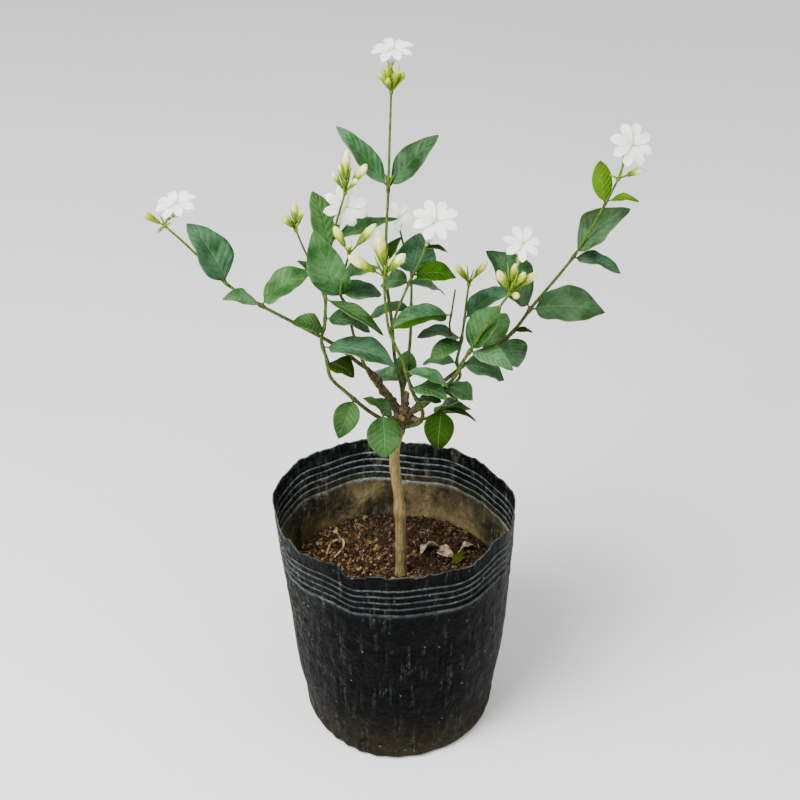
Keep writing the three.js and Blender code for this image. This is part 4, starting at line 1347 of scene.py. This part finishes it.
clusters = {  # sepals are rows of way, rise and length
    "buds_top": {
        "stem": ["leader"],
        "buds": [(180, 62, 13, 4.7, 4), (0, 58, 14, 4.9, 4), (250, 60, 12, 4.7, 4), (310, 68, 16, 4.7, 5),
            (90, 60, 13, 4.7, 4), (215, 80, 17, 4.4, 5)],
        "sepals": [(150, 60, 14), (20, 70, 17), (200, 72, 17), (330, 50, 12), (270, 78, 19), (120, 75, 18),
            (240, 58, 16), (300, 60, 16), (180, 50, 13), (0, 48, 13)],
    },
    "buds_far_left": {
        "stem": ["left_branch"],
        "buds": [(188, 36, 16, 5, 4)],
        "sepals": [(150, 60, 8), (230, -20, 8), (150, 15, 8), (170, -40, 7), (330, 30, 7)],
    },
    "buds_left": {
        "stem": ["left_upright", 0],
        "buds": [(185, 50, 13, 5.2, 3), (100, 78, 17, 5.2, 4), (20, 66, 13, 3.6, 4)],
        "sepals": [(230, 50, 10), (140, 55, 11), (300, 60, 10)],
    },
    "buds_upper": {
        "stem": ["left_upright"],
        "buds": [(310, 84, 29, 5.6, 9), (330, 55, 26, 5.8, 10), (190, 62, 15, 4.2, 6),
            (320, 50, 15, 4.2, 7), (150, 78, 18, 4.4, 8)],
        "sepals": [(0, 75, 13), (250, 60, 11), (60, 60, 12), (210, 80, 14)],
    },
    "buds_middle": {
        "stem": ["middle_shoot"],
        "buds": [(160, 62, 19, 6, 6), (20, 45, 24, 5.7, 8), (300, 75, 9, 3.4, 3)],
        "sepals": [(240, 60, 8), (60, 70, 9)],
    },
    "buds_front": {
        "stem": ["front_cane"],
        "buds": [(190, 84, 30, 8.1, 8), (190, 36, 26, 7.3, 7), (350, 52, 20, 6.8, 6)],
        "sepals": [(340, 78, 14), (215, 62, 13), (20, 62, 13), (270, 60, 12), (160, 64, 15)],
    },
    "buds_inner": {
        "stem": ["inner_shoot"],
        "buds": [(190, 60, 17, 4.9, 5), (0, 56, 19, 4.9, 6)],
        "sepals": [(250, 64, 12), (110, 70, 13), (20, 72, 11), (320, 62, 10), (165, 70, 11)],
    },
    "buds_right": {
        "stem": ["right_cluster_shoot"],
        "buds": [(195, 64, 18, 6.2, 5), (10, 38, 20, 5.4, 6), (300, 10, 9, 5.2, 3), (60, 72, 18, 4.9, 7),
            (350, 60, 17, 4.9, 6)],
        "sepals": [(120, 78, 19), (20, 60, 16), (280, 60, 13), (330, 74, 17), (200, 76, 15)],
    },
    "buds_far_right": {
        "stem": ["right_branch"],
        "buds": [(340, 30, 17, 5.2, 6)],
        "sepals": [(60, 40, 8), (200, 30, 7), (300, 60, 7)],
    },
}


def stemRoute(stem):
    shoot = shoots[stem[0]]
    return shoot["route"] if len(stem) == 1 else shoot["twigs"][stem[1]]["route"]


def stemEnd(route):
    end = routePoint(route, 1)
    return end, (end - routePoint(route, 0.9999)).normalized()


def clusterJoint(cluster):
    end, onward = stemEnd(stemRoute(cluster["stem"]))
    return end + onward * (budFacts["jointRadius"] + budFacts["fitGap"])


def makeBudBlank():  # a closed bud one long and one across, of petals wound round each other
    bpy.ops.mesh.primitive_uv_sphere_add(
        segments=budFacts["sides"], ring_count=budFacts["levels"], radius=0.5, location=(0, 0, 0.5))
    blank = newPrimitive("budBlank")
    for vertex in blank.data.vertices:
        height = vertex.co.z
        height = 0.5 - 0.5 * math.cos(math.pi * height) * 0.35 + (height - 0.5) * 0.65
        height = min(1.0, max(0.0, height))
        angle = math.atan2(vertex.co.y, vertex.co.x)
        wound = 1 + 0.07 * math.sin(5 * (angle + 2.2 * height)) * math.sin(math.pi * height)
        reach = lookUp(budFacts["outline"], height) / 2 * wound if vertex.co.xy.length > 1e-6 else 0
        vertex.co = Vector((reach * math.cos(angle), reach * math.sin(angle), height))
    return blank


def makeNeedleBlank():  # a slim calyx lobe one long
    bpy.ops.mesh.primitive_cylinder_add(
        vertices=budFacts["lobeSides"], radius=0.5, depth=1, location=(0, 0, 0.5))
    blank = newPrimitive("needleBlank")
    cutLevels(blank, budFacts["lobeCuts"])
    for vertex in blank.data.vertices:
        full = lookUp(budFacts["lobeOutline"], vertex.co.z)
        vertex.co.x *= full
        vertex.co.y *= full
    return blank


def setAlong(piece, base, way, wide, reach, bow=0.0, spin=0.0):  # stands a blank on base, along a way
    turned = Vector((0, 0, 1)).rotation_difference(way) @ Quaternion((0, 0, 1), spin)
    for vertex in piece.data.vertices:
        x, y, z = vertex.co
        bend = bow * math.sin(math.pi * z)
        vertex.co = (base + turned @ Vector((x * wide + bend, y * wide, z * reach))) * mm


def tintAlong(piece, base, way, reach, stops):  # colours change along the way, at shares of the reach
    tints = []
    for vertex in piece.data.vertices:
        share = (vertex.co / mm - base).dot(way) / reach
        tone = asLight(stops[-1][1])
        for (low, lowTone), (high, highTone) in zip(stops, stops[1:]):
            if share <= high:
                tone = blendColours(lowTone, highTone, (share - low) / (high - low))
                break
        tints.append(tone)
    paint(piece, tints)


lobeStops = [(0, budFacts["calyx"]), (0.6, budFacts["sepal"]), (1, budFacts["sepalTip"])]


def makeLobe(blanks, foot, way, wide, reach, bow, spin):
    lobe = copyOf(blanks["needle"], "lobe")
    setAlong(lobe, foot, way, wide, reach, bow, spin)
    tintAlong(lobe, foot, way, reach, lobeStops)
    return lobe


def makeBud(blanks, joint, bud, seed, greenness):
    chance = random.Random(seed)
    way = heading(bud["toward"], bud["rise"])
    stalk, fat, body = bud["stalk"], bud["fat"], bud["long"] - bud["stalk"]
    root = joint + way * stalk
    head = copyOf(blanks["bud"], "budHead")
    setAlong(head, root, way, fat * 0.92, body * 0.99, 0.25, chance.uniform(0, 6))
    ripe = budFacts["tipStart"] + (0 if fat > 5 else 0.14)
    tip = blendColours(budFacts["tip"], budFacts["ripe"], greenness)
    full = blendColours(budFacts["ripe"], budFacts["belly"], greenness * 0.8)
    tintAlong(head, root, way, body, [
        (0, budFacts["base"]), (ripe * 0.5, budFacts["belly"]), (ripe, full), (ripe + 0.24, tip), (1, tip)])
    points = [joint + way * stalk * share for share in (0, 0.5, 0.85, 1.08)]
    rod = roundRod(points, [0.5, 0.5, 0.62, 0.85], "budStalk", 8)
    tintAlong(rod, joint, way, stalk, [(0, budFacts["knot"]), (1.1, budFacts["calyx"])])
    cup = copyOf(blanks["bud"], "budCup")
    setAlong(cup, root - way * 0.7, way, fat * 0.62, body * 0.3, 0, 1)
    tintAlong(cup, root, way, body * 0.3, [(0, budFacts["knot"]), (1, budFacts["calyx"])])
    parts = [head, rod, cup]
    lobes = 8 if fat > 4 else 5
    across = way.orthogonal().normalized()
    for i in range(lobes):
        out = Quaternion(way, math.tau * i / lobes + chance.uniform(-0.25, 0.25)) @ across
        lobeWay = (way + out * chance.uniform(0.12, 0.26) * min(1.2, fat / 5)).normalized()
        reach = body * chance.uniform(0.42, 0.78)
        foot = root + out * fat * 0.13 - way * 0.3
        parts.append(makeLobe(blanks, foot, lobeWay, 0.8, reach, 0.1, chance.uniform(0, 6)))
    return parts


def makeCluster(blanks, name, cluster):
    joint = clusterJoint(cluster)
    end, onward = stemEnd(stemRoute(cluster["stem"]))
    knot = roundRod([end, end + onward, joint, joint + onward], [0.75, 1.2, 1.45, 0.8], "joint", 10)
    paint(knot, budFacts["knot"])
    parts = [knot]
    greenness = budFacts["greener"].get(name, budFacts["greenness"])
    for i, row in enumerate(cluster["buds"]):
        parts += makeBud(blanks, joint, namedRow(budColumns, row), i * 13 + len(name), greenness)
    for seed, (toward, rise, reach) in enumerate(cluster["sepals"], len(name)):
        way = heading(toward, rise)
        parts.append(makeLobe(blanks, joint, way, 1.25, reach, 0.5 * math.sin(seed * 2.3), seed * 1.7))
    for bloom in blooms.values():
        if bloom.get("cluster") == name:
            walked = walkRoute([tuple(joint), *bloom["stalk"]], 2)
            radii = [0.65 + 0.3 * i / (len(walked) - 1) for i in range(len(walked))]
            parts.append(roundRod(walked, radii, "bloomStalk", 8))
            paint(parts[-1], budFacts["knot"])
    return joinDressed(parts, name + "Cluster", budMaterial)


def budSkin():
    material, shader = newMaterial("waxyBud")
    place = objectPlace()
    streaks = grain(objectPlace((1, 1, 0.3)), 900, 3, 0.55)
    blush = grain(place, 160, 3, 0.55)
    tint = attribute("tint", "Color")
    shaded = mix(1.0, tint, budFacts["shaded"], "MULTIPLY")
    light = mix(0.03, tint, budFacts["lit"])
    colour = mix(spread(streaks, 0.3, 0.7), shaded, light)
    feed(shader, "Base Color", mix(times(spread(blush, 0.55, 0.75), 0.12), colour, budFacts["blush"]))
    feed(shader, "Roughness", spread(blush, 0.3, 0.7, 0.36, 0.5))
    feed(shader, "Specular IOR Level", 0.08)
    feed(shader, "Subsurface Weight", 0.06)
    feed(shader, "Subsurface Radius", (0.9, 1.0, 0.3))
    feed(shader, "Subsurface Scale", 0.001)
    feed(shader, "Normal", bumpFrom(streaks, 0.25, 0.0003))
    return material


# blooms

bloomColumns = ("middle", "toward", "rise", "across", "petals")
bloomRows = {  # each ends with the stem that carries the flower
    "bloom_top": ((-3, 10, 456), 260, 78, 25, 8, {
        "cluster": "buds_top", "stalk": [(-4, 8, 441), (-4, 9, 447)]}),
    "bloom_far_right": ((133, 4, 402), 290, 35, 27, 8, {
        "cluster": "buds_far_right", "stalk": [(129, 7, 386), (130, 6, 392)]}),
    "bloom_inner_left": ((-30, 0.2, 366.6), 268, 2, 28, 8, {"stem": ["left_upright", 1]}),
    "bloom_middle": ((21, -27, 369), 275, 56, 28, 8, {"stem": ["front_cane", 0]}),
    "bloom_right": ((72, -8, 345), 280, 52, 24, 7, {
        "cluster": "buds_right", "stalk": [(66, -19, 329), (69, -15, 335)]}),
    "bloom_far_left": ((-130, 11, 361), 235, 70, 26, 8, {
        "cluster": "buds_far_left", "stalk": [(-136, 8, 353), (-134, 9, 354)]}),
    "bloom_behind": ((0, 26, 346), 275, 40, 19, 7, {"stem": ["back_shoot", 0]}),
}
blooms = {name: namedRow(bloomColumns, row) for name, row in bloomRows.items()}
petalFacts = {
    "columns": 8,
    "rows": 12,
    "layerGap": 1.3,
    "slenderness": 0.44,
    "thickness": 0.3,
    "outline": [  # how full the petal is at shares of its length
        (0.22, 0), (0.4, 0.14), (0.7, 0.3), (0.93, 0.46), (1.0, 0.62),
        (0.97, 0.76), (0.86, 0.86), (0.62, 0.94), (0.2, 1)],
    "white": "#fdfdfa",
    "tip": "#fdfdfb",
    "neck": "#b9c96a",
    "veins": "#e3e9de",
    "shade": "#eff3ec",
    "throat": "#dfe7a4",
    "eye": "#b9c65a",
    "centre": {  # radii at heights over the flower's middle, and sides
        "throat": ([(1.2, 0.9), (1.55, 1.5), (1.45, 1.9), (0.9, 2.0)], 12),
        "eye": ([(0.75, 1.6), (0.8, 2.1), (0.4, 2.45)], 8),
    },
}


def makePetal(blank, middle, axis, along, reach, seed, name):
    chance = random.Random(seed)
    made = copyOf(blank, name)
    side = along.cross(axis)
    half = reach * petalFacts["slenderness"] / 2 * chance.uniform(0.94, 1.06)
    dip, twist, tip = chance.uniform(-0.02, 0.06), chance.uniform(-0.12, 0.12), chance.uniform(-0.03, 0.05)
    cup = chance.uniform(0.1, 0.22)
    for vertex in made.data.vertices:
        across, share = vertex.co.x, 0.04 + 0.96 * vertex.co.y
        full = lookUp(petalFacts["outline"], share)
        endRound = 1 - 0.05 * across**2 * max(0, (share - 0.75) / 0.25)
        lift = 0.11 * math.sin(math.pi * min(1, share * 0.85))
        lift += -dip * share - tip * max(0, (share - 0.7) / 0.3) ** 2
        lift += cup * full * half / reach * abs(across) ** 1.8 + twist * across * share * full * half / reach
        lift += 0.012 * math.sin(share * 9 + seed) * across
        point = middle + along * reach * share * endRound + axis * reach * lift + side * across * half * full
        vertex.co = point * mm
    thicken(made, petalFacts["thickness"])
    tints = []
    for vertex in made.data.vertices:
        share = (vertex.co / mm - middle).dot(along) / reach
        if share < 0.26:
            tone = blendColours(petalFacts["throat"], petalFacts["white"], (share - 0.05) / 0.21)
        else:
            tone = blendColours(petalFacts["white"], petalFacts["tip"], share)
        tints.append(tone)
    paint(made, tints)
    return made


def makeBloom(blanks, name, bloom):
    axis = heading(bloom["toward"], bloom["rise"])
    middle = Vector(bloom["middle"])
    if "stem" in bloom:
        route = stemRoute(bloom["stem"])
    else:
        route = [tuple(clusterJoint(clusters[bloom["cluster"]])), *bloom["stalk"]]
    end, onward = stemEnd(route)
    throat = middle + axis * (petalFacts["layerGap"] + 0.2)
    walked = walkRoute([tuple(p) for p in (end, end + onward * 1.8, middle - axis * 2.5, throat)], 1.2)
    count = len(walked) - 1
    tube = roundRod(walked, [0.9 + 0.95 * (i / count) ** 3 for i in range(count + 1)], name + "Tube", 10)
    tubeTints = []
    for vertex in tube.data.vertices:
        share = (vertex.co / mm - end).length / max(1e-6, (throat - end).length)
        tubeTints.append(blendColours(petalFacts["neck"], petalFacts["white"], share * 1.6 - 0.2))
    paint(tube, tubeTints)
    parts = [tube]
    start = Vector((1, 0, 0)) if abs(axis.z) > 0.9 else Vector((0, 0, 1))
    across = (start - axis * start.dot(axis)).normalized()
    for i in range(bloom["petals"]):
        base = middle + axis * (petalFacts["layerGap"] * (1 if i % 2 == 0 else 0.35))
        along = Quaternion(axis, math.tau * i / bloom["petals"] + 0.3) @ across
        seed = i * 5 + len(name)
        parts.append(makePetal(blanks["petal"], base, axis, along, bloom["across"] / 2, seed, name))
    for part, (profile, sides) in petalFacts["centre"].items():
        points = [middle + axis * height for radius, height in profile]
        parts.append(roundRod(points, [radius for radius, height in profile], part, sides))
        paint(parts[-1], petalFacts[part])
    for i in range(7):
        out = Quaternion(onward, math.tau * i / 7 + 0.4) @ onward.orthogonal().normalized()
        foot, way = end + onward * 0.5 + out * 0.5, (onward + out * 0.42).normalized()
        lobe = copyOf(blanks["needle"], "lobe")
        setAlong(lobe, foot, way, 0.6, 4.2 + (i % 3) * 0.7, 0.2, i)
        tintAlong(lobe, foot, way, 5, [(0, budFacts["calyx"]), (1, budFacts["sepal"])])
        parts.append(lobe)
    return joinDressed(parts, name + "Flower", petalMaterial)


def petalSkin():
    material, shader = newMaterial("whitePetal")
    place = objectPlace()
    soft = grain(place, 190, 3, 0.55)
    veins = grain(place, 1500, 2, 0.5, 1.2)
    tint = attribute("tint", "Color")
    shaded = mix(1.0, tint, petalFacts["shade"], "MULTIPLY")
    colour = mix(spread(soft, 0.35, 0.68), shaded, tint)
    feed(shader, "Base Color", mix(times(spread(veins, 0.55, 0.68), 0.2), colour, petalFacts["veins"]))
    feed(shader, "Roughness", spread(soft, 0.3, 0.7, 0.48, 0.6))
    feed(shader, "Subsurface Weight", 0.2)
    feed(shader, "Subsurface Radius", (1.0, 1.0, 0.9))
    feed(shader, "Subsurface Scale", 0.0015)
    feed(shader, "Sheen Weight", 0.15)
    feed(shader, "Normal", bumpFrom(veins, 0.2, 0.0002))
    return material


budMaterial = budSkin()
petalMaterial = petalSkin()
petalBlank = makeGridBlank("petalBlank", petalFacts["columns"], petalFacts["rows"])
blanks = {"bud": makeBudBlank(), "needle": makeNeedleBlank(), "petal": petalBlank}
for clusterName, cluster in clusters.items():
    bunch = makeCluster(blanks, clusterName, cluster)
    finishPiece(bunch, [clusterName])
print("bud clusters made:", len(clusters))
for bloomName, bloom in blooms.items():
    flower = makeBloom(blanks, bloomName, bloom)
    finishPiece(flower, [bloomName])
for spare in blanks.values():
    drop(spare)
print("blooms made:", len(blooms))


# litter on the soil

dryColumns = ("x", "y", "toward", "long", "wide", "roll", "fold")
litter = {
    "dryLeaves": {
        "dry_leaf_left": (14, 18, 30, 17, 9, 35, 0.7),
        "dry_leaf_middle": (26, 24, -40, 15, 9, -30, 0.8),
        "dry_leaf_right": (40, 22, 15, 14, 7, 25, 0.6),
    },
    "lift": 1.2,  # above the soil's level
    "curl": {"rise": 6, "arch": 0.16, "wave": 0.12},
    "strawRoute": [(-48, 20, 101), (-45, 30, 103), (-38, 33, 104), (-37, 25, 103), (-43, 16, 101)],
    "strawSides": 10,
    "sprig": {"place": (38, 9, 101.4), "wide": 3.5, "look": "olive"},
    "sprigLeaves": [(60, 25, 12), (20, 35, 8), (105, 40, 7)],  # way, rise and length
    "leafBrown": "#a08a70",
    "leafPink": "#b39c8c",
    "straw": "#a3905f",
    "stains": "#6d543c",
    "fibres": "#cbb089",
}


def dryLeafSkin():
    material, shader = newMaterial("dryLeaf")
    place = objectPlace()
    stains = grain(place, 230, 4, 0.65)
    fibres = grain(objectPlace((1, 0.3, 1)), 1500, 4, 0.6)
    tint = attribute("tint", "Color")
    dark = mix(1.0, tint, litter["stains"], "MULTIPLY")
    colour = mix(spread(stains, 0.36, 0.66), dark, tint)
    feed(shader, "Base Color", mix(times(spread(fibres, 0.5, 0.7), 0.4), colour, litter["fibres"]))
    feed(shader, "Roughness", spread(stains, 0.3, 0.7, 0.6, 0.85))
    feed(shader, "Normal", bumpFrom(fibres, 0.5, 0.0005))
    return material


dryMaterial = dryLeafSkin()
blank = makeLeafBlank()
for index, (leafName, row) in enumerate(litter["dryLeaves"].items()):
    leaf = {**litter["curl"], **namedRow(dryColumns, row)}
    base = Vector((leaf["x"], leaf["y"], pottingSoil["level"] + litter["lift"]))
    scrap = makeLeaf(blank, base, leaf, index + 3, leafName + "Scrap")
    paint(scrap, litter["leafPink"] if index == 0 else litter["leafBrown"])
    dress(scrap, dryMaterial)
    smooth(scrap)
    finishPiece(scrap, [leafName])

walked = walkRoute(litter["strawRoute"], 1.6)
radii = [0.75 + 0.12 * math.sin(i) for i in range(len(walked))]
straw = roundRod(walked, radii, "strawLoop", litter["strawSides"])
paint(straw, litter["straw"])
dress(straw, dryMaterial)
smooth(straw)
finishPiece(straw, ["straw_loop"])

sprigParts = []
for index, (toward, rise, reach) in enumerate(litter["sprigLeaves"]):
    row = {**litter["sprig"], "toward": toward, "rise": rise, "long": reach}
    sprigParts.append(makeLeaf(blank, Vector(row["place"]), row, index + 1, "sprigLeaf"))
finishPiece(joinDressed(sprigParts, "greenSprig", leafMaterial), ["green_sprig"])
drop(blank)
print("litter made")
